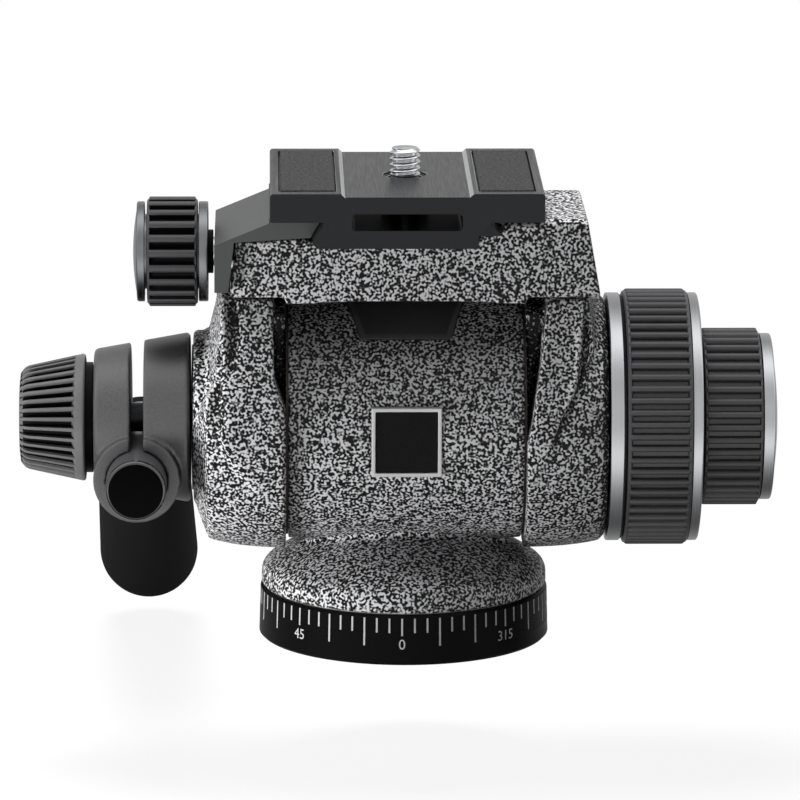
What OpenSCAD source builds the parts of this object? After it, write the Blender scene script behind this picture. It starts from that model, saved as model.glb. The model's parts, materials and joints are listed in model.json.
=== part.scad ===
// Fluid video head: a panning base, a tilting cradle with a dovetail camera plate, and a bent pan bar.
// Millimetres. The origin is the mouth of the tripod socket. +Z is up, +X is to the right seen from the
// front, and -Y is to the front. The tilt axis lies along X.

/* [Base] */
// Radius of the graduated base at its foot
base_r = 30; // [27:0.5:36]
// Height of the graduated base
base_h = 10.4; // [9:0.1:12]
// How much the base's radius narrows from its foot to its top
base_taper = 0.3; // [0:0.1:1]
// Radius of the tripod socket's wall (minor diameter of a 3/8 inch thread)
socket_r = 4; // [3:0.1:4.6]
// Depth of the tripod socket
socket_depth = 12; // [8:0.5:14]
// Radius of the pan spindle's shaft
spindle_r = 6; // [5.4:0.1:6.4]
// Radius of the pan spindle's foot flange
spindle_flange_r = 14; // [13:0.5:16]
// Thickness of the pan spindle's foot flange
spindle_flange_t = 4; // [3:0.1:5]
// Radius of the screws that hold the spindle to the base
spindle_screw_r = 1.5; // [1:0.1:1.8]
// Width of the thrust ring that the housing turns on
thrust_ring_w = 2.6; // [2:0.1:3]
// Thickness of the thrust ring
thrust_ring_t = 1.4; // [1:0.1:2]
// Inner radius of the pan drag ring
pan_drag_in_r = 13; // [12:0.5:16]
// Outer radius of the pan drag ring
pan_drag_out_r = 23; // [20:0.5:24]
// Height of the pan drag ring
pan_drag_h = 2.4; // [1.5:0.1:3]

/* [Pan housing] */
// Gap between the base and the housing that turns on it
pan_gap = 0.2; // [0.1:0.05:0.5]
// How far the dome's wall stands in from the top of the base
dome_inset = 0.2; // [0:0.1:1]
// Height above the housing's foot at which the dome's crown would meet its wall
dome_edge_h = 4; // [3.5:0.1:6]
// Radius of the dome's crown
crown_r = 49.5; // [44:0.5:60]
// Rounding of the dome's shoulder
dome_round = 3; // [1:0.1:4]
// Height of the tilt axis
tilt_z = 45.45; // [44:0.05:50]
// Radius of the housing's tilt block
block_r = 25; // [24:0.1:25.6]
// Width of the tilt block between the cheeks
block_w = 48; // [44:0.5:56]
// Radius of the drag drum's room inside the block
drum_room_r = 19; // [18:0.1:20]
// Side of the square badge
badge_side = 14.3; // [10:0.1:16]
// Width of the badge's frame
badge_border = 0.8; // [0.5:0.1:1.5]
// Depth of the seat that the badge lies in, measured from the front of the block
badge_depth = 1.5; // [1.2:0.1:2]
// Width of the pocket in the top of the block, at its front end
pocket_front_w = 18.6; // [14:0.1:22]
// Width of the pocket at its back end
pocket_back_w = 27; // [22:0.5:30]
// Length of the pocket
pocket_len = 20.4; // [16:0.2:22]
// Depth of the pocket in its middle
pocket_depth = 3.7; // [3:0.1:4]
// How far the pocket's middle leans to the front, in degrees
pocket_lean = 14; // [8:1:20]
// Wall of the pocket's liner
pocket_wall = 1; // [0.6:0.1:1.4]

/* [Tilt drag] */
// Radius of the tilt axle
axle_r = 8; // [7:0.1:8.6]
// Radius of the drag rod that runs through the axle
drag_rod_r = 3.95; // [3.5:0.05:4.2]
// Wall of the bronze bushes
bush_wall = 2.2; // [1.6:0.1:2.4]
// Length of the tilt bushes
tilt_bush_len = 11; // [8:0.5:12]
// Wall of the drag cup
drag_cup_wall = 3.2; // [2.4:0.1:3.6]
// Width of the drag rotor
rotor_w = 16; // [12:0.5:18]
// Gap that the drag fluid fills
fluid_gap = 0.35; // [0.25:0.05:0.6]
// Radius of the pin that ties the rotor to the drag rod
rotor_pin_r = 1.5; // [1:0.1:2]
// Thickness of the friction washers beside the block
friction_t = 0.45; // [0.3:0.05:0.8]

/* [Cradle] */
// Radius of the cheeks where they meet the block
cheek_r = 27; // [26:0.1:27.4]
// How much the cheeks narrow towards their outer ends, on the radius
cheek_taper = 1.4; // [0.8:0.1:2]
// Width of the right cheek
right_cheek_w = 16.7; // [15:0.1:20]
// Width of the left cheek
left_cheek_w = 19; // [17:0.1:22]
// Radius of the boss on the left cheek's end
boss_r = 18; // [17:0.1:19]
// Length of that boss
boss_w = 2.9; // [2:0.1:4]
// How much the arms' outer sides lean in for each millimetre of radius
arm_draft = 0.25; // [0.2:0.01:0.35]
// Thickness of the webs that hold the axle
web_t = 6; // [5:0.1:7]
// Radius of the right cheek's cup
right_cup_r = 21; // [19:0.1:22]
// Radius of the left cheek's cup
left_cup_r = 15; // [14.4:0.1:16]
// Width of the arms that rise to the platform
arm_w = 14.2; // [13:0.1:15]
// Height of the arms' tops above the tilt axis
arm_h = 28.55; // [28:0.05:34]
// Half depth of the arms at their tops
arm_half_d = 17; // [14:0.1:18]
// How far the right arm's top stands back from the block's side of its cheek
right_arm_set = 4.3; // [2:0.1:5]
// The same for the left arm
left_arm_set = 2.6; // [2:0.1:4]
// Radius of the screws that hold the platform
cradle_screw_r = 1.6; // [1.5:0.1:2]
// Half distance between those screws, front to back
cradle_screw_y = 7; // [6.6:0.1:7.4]

/* [Platform] */
// Half depth of the platform
platform_half_d = 18; // [17:0.1:22]
// Height of the platform's floor above the arms' tops
platform_h = 11.5; // [10.5:0.1:13]
// How far the platform hangs below the arms' tops between them
platform_sag = 1.4; // [0.6:0.1:1.6]
// How far the platform's right foot stands out past the right arm
platform_foot = 0.9; // [0.5:0.1:3]
// How far the platform's sides lean in over their height
platform_lean = 2.8; // [1:0.1:4]
// Height of the fixed jaw above the platform's floor
fixed_jaw_h = 4.5; // [4.2:0.1:4.7]
// How far the platform's left side stands in from the left arm
platform_inset = 2.8; // [2:0.1:3.6]
// How far the platform's left side leans in over its height
platform_left_lean = 1.2; // [0.6:0.1:2]
// Chamfer of the platform's front and back edges
platform_chamfer = 1; // [0.4:0.1:2]

/* [Camera plate] */
// Width of the camera plate
plate_w = 55.4; // [50:0.2:60]
// Length of the camera plate
plate_len = 53.5; // [46:0.5:60]
// Thickness of the plate's flange
flange_t = 5.9; // [5.4:0.1:8]
// Height of the dovetail under the flange
dovetail_h = 5.35; // [5.2:0.05:5.6]
// Half width of the dovetail at its neck
neck_half = 16.9; // [16:0.1:18]
// Half width of the dovetail at its foot
dovetail_half = 19.2; // [18.6:0.1:19.6]
// Height of the rabbet under the right side of the dovetail
rabbet_h = 2.6; // [2:0.1:2.8]
// Width of the rabbet
rabbet_w = 4.8; // [4:0.1:6]
// Half width of the channel along the plate's top
channel_half = 12.6; // [9:0.1:13]
// Depth of that channel
channel_depth = 0.7; // [0.3:0.1:1.2]
// Width of the slot through the plate
slot_w = 22.2; // [16:0.2:26]
// Height of that slot
slot_h = 3.3; // [2.6:0.1:3.4]
// Width of each grip pad
pad_w = 11; // [8:0.2:12]
// Length of each grip pad
pad_len = 47; // [40:0.5:50]
// Thickness of each grip pad
pad_t = 1.1; // [0.8:0.1:1.5]
// How far the pads stand proud of the plate
pad_proud = 0.2; // [0.1:0.05:0.5]
// Radius of the camera screw's thread (1/4 inch)
camera_screw_r = 3.175; // [2.4:0.005:3.6]
// Height of the camera screw above the channel
camera_screw_h = 5.6; // [4:0.1:8]
// Radius of the camera screw's head
screw_head_r = 7; // [6:0.1:8]
// Thickness of the camera screw's head
screw_head_t = 2.2; // [1.6:0.1:2.4]

/* [Clamp jaw] */
// Thickness of the jaw's wall
jaw_wall = 2.8; // [2.2:0.1:3.6]
// Half length of the jaw
jaw_half_len = 20; // [18:0.5:24]
// How far the jaw's wall hangs below the platform's floor
jaw_drop = 10; // [9.6:0.1:10.4]
// Radius of the clamp screw
clamp_screw_r = 3; // [2.4:0.1:3.4]
// Depth of the clamp screw's axis below the platform's floor
clamp_screw_drop = 5.2; // [4.6:0.1:5.4]
// Radius of the jaw's guide pins
guide_pin_r = 2; // [1.5:0.1:2.2]
// Half distance between the guide pins
guide_pin_y = 13; // [12.4:0.1:14]
// Radius of the clamp knob's rubber
clamp_knob_r = 11.3; // [10.6:0.1:12]
// Length of the clamp knob's rubber
clamp_grip_len = 10.4; // [8:0.1:14]
// Radius of the clamp knob's metal rims
clamp_rim_r = 10.3; // [9.6:0.1:10.6]
// Ribs round the clamp knob
clamp_ribs = 22; // [16:1:32]

/* [Side knobs] */
// Radius of the lock knob's rubber
lock_knob_r = 26.45; // [24:0.05:28]
// Length of the lock knob's rubber
lock_grip_len = 13.25; // [10:0.05:18]
// Radius of the lock knob's metal rims
lock_rim_r = 25.65; // [23:0.05:25.8]
// Width of the lock knob's inner rim
lock_rim_w = 3.4; // [2:0.1:5]
// Width of the lock knob's outer rim
lock_ring_w = 2.05; // [1.5:0.05:3]
// Ribs round the lock knob
lock_ribs = 66; // [40:1:80]
// Radius of the drag knob's rubber
drag_knob_r = 18.3; // [16:0.1:20]
// Length of the drag knob's rubber
drag_grip_len = 11.85; // [9:0.05:16]
// Radius of the drag knob's metal cap
drag_cap_r = 17.2; // [15:0.1:17.6]
// Width of the metal cap's rim
drag_cap_w = 2.3; // [1.5:0.1:3]
// Rise of the metal cap's domed face
drag_cap_rise = 1.4; // [0.6:0.1:2]
// Ribs round the drag knob
drag_ribs = 42; // [28:1:56]
// Thickness of the rubber sleeves on the side knobs
rubber_t = 4.2; // [3.4:0.1:5]
// Depth of the grooves between the ribs
rib_depth = 0.8; // [0.4:0.1:1.2]

/* [Pan bar] */
// Width of the bar clamp along the tilt axis
bar_clamp_w = 19.85; // [18:0.05:24]
// Radius of the bar clamp at its knob end
bar_clamp_small_r = 14.2; // [14:0.1:16]
// Radius of the bar clamp at its cheek end
bar_clamp_large_r = 17.5; // [16:0.1:20]
// Width of the slit that lets the clamp close
slit_w = 2.7; // [1.5:0.1:3.4]
// Radius of the boss round the bar
bar_boss_r = 8.9; // [8.2:0.1:9.4]
// Half length of that boss
bar_boss_half = 17.5; // [15:0.1:19]
// Radius of the pan bar's tube
bar_r = 6.2; // [5.6:0.1:6.4]
// Wall of the pan bar's tube
bar_wall = 1.5; // [1:0.1:2]
// Depth of the bar's axis below the tilt axis
bar_drop = 9.55; // [9.5:0.05:10.2]
// How far the bar's front end stands out of the boss
bar_front = 10; // [8.5:0.1:16]
// How far behind the tilt axis the bar's bend starts
bar_bend_y = 27; // [25.5:0.5:34]
// Radius of the bar's bend
bar_bend_r = 30; // [20:0.5:40]
// Angle of the bar's bend, in degrees
bar_bend = 29.5; // [15:0.5:35]
// Length of the bar's straight tail behind the bend
bar_tail = 84; // [70:0.5:110]
// Radius of the grip at its rounded end
grip_r = 11; // [9:0.1:13]
// Radius of the grip at its front end
grip_front_r = 9.6; // [8.6:0.1:12]
// How much the bar's tail is swaged down inside the grip, on the radius
swage = 0.8; // [0.5:0.1:1]
// Radius of the handle stud
stud_r = 3; // [2.4:0.1:3]
// Length of the bar clamp's cone knob
cone_knob_len = 13.6; // [12:0.1:18]
// Radius of the cone knob at its wide rim
cone_knob_large_r = 13.25; // [11.6:0.05:15]
// Radius of the cone knob at its end
cone_knob_small_r = 10.3; // [9:0.1:11]
// Flutes round the cone knob
cone_flutes = 36; // [24:1:44]
// Width of the dark neck between the cone knob and the bar clamp
neck_w = 1.45; // [1:0.05:2.5]

/* [Clearances] */
// Radial clearance of pieces that turn or slide on one another
running_fit = 0.05; // [0.02:0.01:0.1]
// Radial clearance of pieces that are fixed in one another
seat_fit = 0.02; // [0.01:0.01:0.04]
// Gap between faces of pieces that move past one another
face_gap = 0.3; // [0.2:0.05:0.5]

/* [Hidden] */
$fn = 96;

// Heights of the pan bearing, counted down from the drag drum's room
thread_step = 1.4;
spindle_top_gap = 0.8;
spindle_thread_r = spindle_r - thread_step;
spindle_top = tilt_z - drum_room_r - spindle_top_gap;
nut_t = 3.4;
nut_below_top = 0.6;
nut_z = spindle_top - nut_below_top - nut_t;
washer_t = 1;
washer_z = nut_z - washer_t;
bush_flange_t = 1.5;
bush_flange_lip = 0.6;
pan_bush_r = spindle_r + running_fit + bush_wall;
bush_flange_r = pan_bush_r + bush_flange_lip;
bush_top = washer_z - running_fit;
bush_floor = bush_top - bush_flange_t;
nut_room_r = bush_flange_r + seat_fit;
nut_room_gap = 1;
nut_r = nut_room_r - nut_room_gap;
washer_r = nut_room_r - face_gap;

// Base and dome
base_top_r = base_r - base_taper;
housing_z = base_h + pan_gap;
dome_r = base_top_r - dome_inset;
thrust_margin = 1;
thrust_out_r = dome_r - thrust_margin;
thrust_in_r = thrust_out_r - thrust_ring_w;
thrust_seat_z = housing_z - thrust_ring_t;
crown_z = housing_z + dome_edge_h - sqrt(crown_r * crown_r - dome_r * dome_r);
shoulder_r = dome_r - dome_round;
shoulder_z = crown_z + sqrt(pow(crown_r - dome_round, 2) - shoulder_r * shoulder_r);
shoulder_end = atan2(shoulder_z - crown_z, shoulder_r);
crown_step = 3;
foot_edge = 0.5;
spindle_screw_ring_r = (spindle_r + spindle_flange_r) / 2;
flat_head_ratio = 1.6;
flat_head_height = 1.2;
spindle_screw_head_r = spindle_screw_r * flat_head_ratio;
spindle_screw_head_t = spindle_screw_r * flat_head_height;
hex_key_ratio = 0.8;
spindle_screw_reach = 3;

// Tilt block and what lies in it
block_half = block_w / 2;
tilt_bush_r = axle_r + running_fit + bush_wall;
room_left = tilt_bush_len - block_half;
cap_left = block_half - tilt_bush_len;
drag_cup_r = drum_room_r - seat_fit;
drag_cup_in_r = drag_cup_r - drag_cup_wall;
drag_cup_floor = 2;
rotor_r = drag_cup_in_r - fluid_gap;
rotor_half = rotor_w / 2;
rotor_pin_half = rotor_r - fluid_gap;
rotor_slot_half = 4;
axle_bore_r = drag_rod_r + running_fit;
drag_rod_past_slot = 2;
drag_rod_left = -rotor_slot_half - drag_rod_past_slot;
badge_seat_y = badge_depth - block_r;
badge_half = badge_side / 2;
badge_face_drop = 0.3;
pocket_floor = block_r - pocket_depth;

// Cradle, from the block outwards
cheek_x = block_half + friction_t + running_fit;
right_end = cheek_x + right_cheek_w;
left_end = cheek_x + left_cheek_w;
web_end = cheek_x + web_t;
arm_out = cheek_x + arm_w;
arm_top = tilt_z + arm_h;
arm_reach = sqrt(arm_half_d * arm_half_d + arm_h * arm_h);
arm_step = 0.15;
arm_r = cheek_r + arm_step;
arm_touch = atan2(arm_h, arm_half_d) - acos(arm_r / arm_reach);
arm_touch_y = cheek_r * cos(arm_touch);
arm_touch_z = cheek_r * sin(arm_touch);
right_ridge = [[arm_out, 20], [arm_out - 2.5, 12], [cheek_x, -12]];
left_ridge = [[arm_out, 8], [arm_out, -4], [cheek_x, -16]];
friction_in_r = tilt_bush_r + face_gap;
friction_margin = 0.8;
friction_out_r = block_r - friction_margin;
axle_nut_t = 4;
axle_nut_room = 4.4;
axle_nut_r = left_cup_r - axle_nut_room;
axle_past_nut = 1;
axle_left = web_end + axle_nut_t + axle_past_nut;
hub_t = 5.6;
hub_proud = 0.3;
hub_left = left_end + hub_proud;
hub_right = hub_left - hub_t;
cap_head_ratio = 1.7;
cap_head_height = 1.9;
cradle_screw_in = 1.85;
cradle_screw_x = (web_end + hub_right) / 2 - cradle_screw_in;
cradle_head_r = cradle_screw_r * cap_head_ratio;
cradle_head_t = cradle_screw_r * cap_head_height;
cradle_screw_depth = 7.5;
screw_seat_depth = 0.2;
right_lip = 1.2;
boss_x = left_end - boss_w;
boss_edge = 0.6;
draft_r = 2 * cheek_r;
draft_x = boss_x - (draft_r - boss_r) * arm_draft;
draft_tip = boss_x + boss_r * arm_draft;
draft_step = 0.2;
left_taper_ratio = 1.4;
left_edge_r = cheek_r - cheek_taper * left_taper_ratio;
left_edge_x = boss_x - draft_step;
chamfer_end = left_end - boss_edge / 2;
chamfer_bend = [boss_r + 3.4, left_end - 1.5];
knob_room_x = arm_out - 1;
knob_room_z = 14;
knob_room_foot = 3;

// Platform, jaws and plate
floor_z = arm_top + platform_h;
platform_right = arm_out + platform_foot;
platform_left = arm_out - platform_inset;
fixed_jaw_top = floor_z + fixed_jaw_h;
plate_z = floor_z + face_gap;
flange_z = plate_z + dovetail_h;
plate_top = flange_z + flange_t;
channel_z = plate_top - channel_depth;
plate_half = plate_w / 2;
plate_half_len = plate_len / 2;
rabbet_x = dovetail_half - rabbet_w;
rabbet_z = plate_z + rabbet_h;
foot_chamfer = 1;
neck_h = 0.5;
neck_z = flange_z - neck_h;
dovetail_slope = (dovetail_half - neck_half) / (neck_z - rabbet_z);
slot_drop = 1.6;
slot_corner = 0.8;
slot_z = flange_z - slot_drop;
pad_gap = 0.3;
pad_x = (channel_half + plate_half) / 2;
pad_z = plate_top + pad_proud - pad_t;
plate_edge = 0.4;
screw_head_recess = 0.35;
screw_head_z = plate_z + screw_head_recess;
screw_head_gap = 0.1;
screw_slot_w = 1.6;
screw_slot_depth = 1;
screw_neck_step = 0.175;
screw_neck_r = camera_screw_r - screw_neck_step;
screw_tip_chamfer = 0.6;
screw_top = channel_z + camera_screw_h;
thread_lift = 0.1;
screw_thread_z = channel_z + thread_lift;
clip_t = 0.8;
clip_w = 1.8;
clip_r = screw_neck_r + clip_w;
screw_rim_w = 1.3;
screw_rim_r = camera_screw_r + screw_rim_w;
screw_rim_depth = 0.5;
jaw_in = platform_left + face_gap;
jaw_out = jaw_in + jaw_wall;
jaw_foot_z = floor_z - jaw_drop;
jaw_lip_z = floor_z + face_gap;
jaw_top_z = flange_z - face_gap;
jaw_past_plate = 0.2;
hump_past_dovetail = 1;
hump_x = dovetail_half + hump_past_dovetail;
hump_h = 0.8;
jaw_shoulder_x = plate_half + jaw_past_plate;
jaw_wall_drop = 0.3;
jaw_slope_h = 4.6;
pin_seat = 2;
clamp_z = floor_z - clamp_screw_drop;
clamp_screw_reach = 19;
clamp_screw_end = platform_left - clamp_screw_reach;
guide_pin_reach = 15;
guide_pin_end = platform_left - guide_pin_reach;
bore_past_end = 1;

// Share of a knob's girth that the grooves between its ribs take
groove_share = 0.4;

// Clamp knob, from the jaw outwards
rim_edge = 0.4;
clamp_stub_wall = 1.5;
clamp_stub_r = clamp_screw_r + clamp_stub_wall;
clamp_stub_w = 1.05;
clamp_rim_w = 1.95;
clamp_stub_x = jaw_out + face_gap;
clamp_rim_x = clamp_stub_x + clamp_stub_w;
clamp_grip_gap = 0.2;
clamp_cap_gap = 0.5;
clamp_grip_x = clamp_rim_x + clamp_rim_w + clamp_grip_gap;
clamp_cap_x = clamp_grip_x + clamp_grip_len + clamp_cap_gap;
clamp_cap_w = 1.6;
clamp_cap_rise = 0.8;
clamp_rubber_t = 3.6;
clamp_core_r = clamp_knob_r - clamp_rubber_t;
clamp_screw_cover = 2;
clamp_screw_tip = clamp_cap_x - clamp_screw_cover;
cap_flat = 1;

// Side knobs, from the right cheek outwards
lock_x = right_end + face_gap;
rim_gap = 0.1;
lock_grip_x = lock_x + lock_rim_w + rim_gap;
lock_ring_x = lock_grip_x + lock_grip_len + rim_gap;
lock_end = lock_ring_x + lock_ring_w;
lock_core_r = lock_knob_r - rubber_t;
lock_spigot_wall = 5;
lock_spigot_r = axle_r + lock_spigot_wall;
lock_spigot_end = lock_end - 2 * rim_gap;
ring_edge = 0.5;
axle_right = lock_end - face_gap;
drag_x = lock_end + face_gap;
drag_lip_w = 0.5;
drag_grip_x = drag_x + drag_lip_w + rim_gap;
drag_cap_x = drag_grip_x + drag_grip_len + 2 * rim_gap;
drag_core_r = drag_knob_r - rubber_t;
drag_rod_cover = 3;
drag_rod_right = drag_cap_x - drag_rod_cover;

// Pan bar clamp, from the left cheek outwards
bar_clamp_x = hub_left + face_gap;
bar_clamp_end = bar_clamp_x + bar_clamp_w;
bar_offset = 1;
bar_x = -(bar_clamp_x + bar_clamp_w / 2) - bar_offset;
bar_z = tilt_z - bar_drop;
neck_x = bar_clamp_end + face_gap;
cone_x = neck_x + neck_w;
cone_end = cone_x + cone_knob_len;
stud_cover = 5;
stud_left = cone_end - stud_cover;
insert_wall = 3;
insert_r = stud_r + insert_wall;
insert_past_stud = 1;
insert_end = stud_left + insert_past_stud;
neck_lip = 5.4;
neck_r = insert_r + neck_lip;
clamp_edge = 0.6;
cone_edge = 0.8;
cone_round = 1.5;
flute_r = 0.75;
flute_stop = 2;
bar_front_y = -bar_boss_half - bar_front;
bar_in_r = bar_r - bar_wall;
bend_end_y = bar_bend_y + bar_bend_r * sin(bar_bend);
bend_end_z = bar_z - bar_bend_r * (1 - cos(bar_bend));
tail_r = bar_r - swage;
tail_in_r = bar_in_r - swage;
tail_overlap = 3;
plug_t = 1.6;
plug_reach = 8;
grip_start = face_gap;
grip_cap = 2;
grip_edge = 1.5;

function arc(centre, r, from, to, steps) =
    [for (i = [0:steps]) let (angle = from + (to - from) * i / steps) centre + r * [cos(angle), sin(angle)]];

function curve(a, bend, b, steps) =
    [for (i = [0:steps]) let (t = i / steps) (1 - t) * (1 - t) * a + 2 * t * (1 - t) * bend + t * t * b];

// Cylinders, turned solids and extrusions along each axis
module rod_x(r, x0, x1) {
    translate([x0, 0, 0]) rotate([0, 90, 0]) cylinder(r = r, h = x1 - x0);
}

module rod_y(r, y0, y1) {
    translate([0, y0, 0]) rotate([-90, 0, 0]) cylinder(r = r, h = y1 - y0);
}

module rod_z(r, z0, z1) {
    translate([0, 0, z0]) cylinder(r = r, h = z1 - z0);
}

module ring_x(r_in, r_out, x0, x1) {
    difference() {
        rod_x(r_out, x0, x1);
        rod_x(r_in, x0 - 1, x1 + 1);
    }
}

module ring_z(r_in, r_out, z0, z1) {
    difference() {
        rod_z(r_out, z0, z1);
        rod_z(r_in, z0 - 1, z1 + 1);
    }
}

// Turns an outline of [radius, x] points about X
module turned_x(outline) {
    rotate([0, 90, 0]) rotate_extrude() polygon(outline);
}

// Extrudes a side view, drawn as [y, z], along X
module side_view(x0, x1) {
    translate([x0, 0, 0]) rotate([90, 0, 90]) linear_extrude(x1 - x0) children();
}

// Extrudes a front view, drawn as [x, z], along Y
module front_view(y0, y1) {
    translate([0, y1, 0]) rotate([90, 0, 0]) linear_extrude(y1 - y0) children();
}

module at_tilt_axis() {
    translate([0, 0, tilt_z]) children();
}

module at_left() {
    mirror([1, 0, 0]) children();
}

// Rubber sleeve with ribs along its length and chamfered ends
module ribbed_sleeve(r_in, r_out, x0, x1, ribs) {
    chamfer = rib_depth;
    groove_w = groove_share * 2 * PI * r_out / ribs;
    intersection() {
        side_view(x0, x1) difference() {
            circle(r_out);
            circle(r_in);
            for (i = [0:ribs - 1]) {
                rotate(i * 360 / ribs) translate([r_out, 0]) square([2 * rib_depth, groove_w], center = true);
            }
        }
        turned_x([
            [0, x0], [r_out - chamfer, x0], [r_out, x0 + chamfer],
            [r_out, x1 - chamfer], [r_out - chamfer, x1], [0, x1]
        ]);
    }
}

// Base: stays still on the tripod

module base_ring() {
    color("#1c1c1e") difference() {
        rotate_extrude() polygon([
            [0, 0], [base_r - foot_edge, 0], [base_r, foot_edge],
            [base_top_r, base_h - foot_edge], [base_top_r - foot_edge, base_h], [0, base_h]
        ]);
        rod_z(spindle_flange_r + seat_fit, -1, spindle_flange_t);
        rod_z(spindle_r + seat_fit, 0, base_h + 1);
        ring_z(thrust_in_r - seat_fit, thrust_out_r + seat_fit, thrust_seat_z, base_h + 1);
        at_spindle_screws() rod_z(spindle_screw_r + seat_fit, 0, spindle_flange_t + spindle_screw_reach);
    }
}

module at_spindle_screws() {
    for (i = [0:2]) {
        rotate(90 + i * 120) translate([spindle_screw_ring_r, 0, 0]) children();
    }
}

module pan_spindle() {
    color("#8f9296") difference() {
        union() {
            rod_z(spindle_flange_r, 0, spindle_flange_t);
            rod_z(spindle_r, 0, washer_z);
            rod_z(spindle_thread_r, 0, spindle_top);
        }
        rod_z(socket_r, -1, socket_depth);
        at_spindle_screws() rod_z(spindle_screw_r + seat_fit, -1, spindle_flange_t + 1);
        at_spindle_screws() rod_z(spindle_screw_head_r + seat_fit, -1, spindle_screw_head_t);
    }
}

module spindle_screws() {
    color("#6f7276") at_spindle_screws() difference() {
        union() {
            rod_z(spindle_screw_head_r, 0, spindle_screw_head_t);
            rod_z(spindle_screw_r, 0, spindle_flange_t + spindle_screw_reach);
        }
        translate([0, 0, -1])
            cylinder(r = spindle_screw_r * hex_key_ratio, h = 1 + spindle_screw_head_t / 2, $fn = 6);
    }
}

module thrust_ring() {
    color("#d8d4c4") ring_z(thrust_in_r, thrust_out_r, thrust_seat_z, housing_z);
}

module pan_drag_ring() {
    color("#b08d57") ring_z(pan_drag_in_r, pan_drag_out_r, base_h, housing_z + pan_drag_h);
}

module pan_washer() {
    color("#a9abad") ring_z(spindle_thread_r + seat_fit, washer_r, washer_z, nut_z);
}

module pan_nut() {
    color("#8f9296") difference() {
        translate([0, 0, nut_z]) cylinder(r = nut_r, h = nut_t, $fn = 6);
        rod_z(spindle_thread_r + seat_fit, nut_z - 1, nut_z + nut_t + 1);
    }
}

// Pan housing: turns on the base

module dome() {
    rotate_extrude() polygon(concat(
        [[0, housing_z], [dome_r, housing_z]],
        arc([shoulder_r, shoulder_z], dome_round, 0, shoulder_end, 5),
        arc([0, crown_z], crown_r, shoulder_end + crown_step, 90, 10)
    ));
}

module pocket_space(inset, floor_rise) {
    front_half = pocket_front_w / 2 - inset;
    back_half = pocket_back_w / 2 - inset;
    half_len = pocket_len / 2 - inset;
    at_tilt_axis() rotate([pocket_lean, 0, 0]) translate([0, 0, pocket_floor + floor_rise])
        linear_extrude(block_r) polygon([
            [-front_half, -half_len], [front_half, -half_len], [back_half, half_len], [-back_half, half_len]
        ]);
}

module pan_housing() {
    color("#7c7d7f") difference() {
        union() {
            dome();
            at_tilt_axis() rod_x(block_r, -block_half, block_half);
        }
        rod_z(pan_bush_r + seat_fit, housing_z - 1, bush_floor + 1);
        rod_z(nut_room_r, bush_floor, tilt_z);
        ring_z(
            pan_drag_in_r - face_gap, pan_drag_out_r + face_gap,
            housing_z - 1, housing_z + pan_drag_h + fluid_gap
        );
        at_tilt_axis() rod_x(drum_room_r, room_left, block_half + 1);
        at_tilt_axis() rod_x(tilt_bush_r + seat_fit, -block_half - 1, 0);
        translate([-badge_half - seat_fit, -block_r - 1, tilt_z - badge_half - seat_fit])
            cube([badge_side + 2 * seat_fit, badge_depth + 1, badge_side + 2 * seat_fit]);
        pocket_space(0, 0);
    }
}

module pan_bush() {
    color("#b08d57") difference() {
        union() {
            rod_z(pan_bush_r, housing_z, bush_top);
            rod_z(bush_flange_r, bush_floor, bush_top);
        }
        rod_z(spindle_r + running_fit, housing_z - 1, bush_top + 1);
    }
}

module badge_frame() {
    face_y = -block_r - badge_face_drop / 2;
    inner = badge_half - badge_border;
    color("#b9babc") front_view(face_y, badge_seat_y) translate([0, tilt_z]) difference() {
        square(badge_side, center = true);
        square(2 * inner, center = true);
    }
}

module badge_plate() {
    side = badge_side - 2 * badge_border - 2 * seat_fit;
    color("#1b1b1c") front_view(badge_face_drop - block_r, badge_seat_y)
        translate([0, tilt_z]) square(side, center = true);
}

module pocket_liner() {
    color("#111112") intersection() {
        difference() {
            pocket_space(seat_fit, seat_fit);
            pocket_space(pocket_wall, pocket_wall);
        }
        at_tilt_axis() rod_x(block_r - seat_fit, -block_half, block_half);
    }
}

module tilt_bush(x0, x1) {
    color("#b08d57") at_tilt_axis() ring_x(axle_r + running_fit, tilt_bush_r, x0, x1);
}

module tilt_bush_left() {
    tilt_bush(-block_half, room_left);
}

module tilt_bush_right() {
    tilt_bush(cap_left, block_half);
}

module tilt_end_cap() {
    color("#55575a") at_tilt_axis()
        ring_x(tilt_bush_r + seat_fit, drum_room_r - seat_fit, cap_left, block_half);
}

module tilt_drag_cup() {
    color("#77797c") at_tilt_axis() difference() {
        rod_x(drag_cup_r, room_left, cap_left);
        rod_x(drag_cup_in_r, room_left + drag_cup_floor, cap_left + 1);
        rod_x(axle_r + face_gap, room_left - 1, cap_left);
    }
}

// Cradle: tilts on the housing

// Front-view outline of an arm on the right, down to the ridge where it dies into the cheek
function arm_outline(ridge, set) = concat(
    [[cheek_x + set, arm_h], [arm_out, arm_h]],
    curve(ridge[0], ridge[1], ridge[2], 8)
);

// Outline of a cheek's drum up to its outer edge
function drum_side(edge_r, edge_x) = concat(
    [[0, cheek_x]],
    curve([cheek_r, cheek_x], [cheek_r, edge_x - 6], [edge_r, edge_x], 6)
);

module arm_side() {
    circle(arm_r);
    polygon([
        [arm_touch_y, arm_touch_z], [arm_half_d, arm_h], [-arm_half_d, arm_h], [-arm_touch_y, arm_touch_z]
    ]);
}

// Keeps what lies inside the arms' leaning outer sides, or the given depth further in
module inside_draft(depth) {
    turned_x([[0, 0], [draft_r, 0], [draft_r, draft_x - depth], [0, draft_tip - depth]]);
}

module arm(ridge, set) {
    intersection() {
        side_view(cheek_x, arm_out) arm_side();
        front_view(-draft_r, draft_r) polygon(arm_outline(ridge, set));
        inside_draft(0);
    }
}

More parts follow.
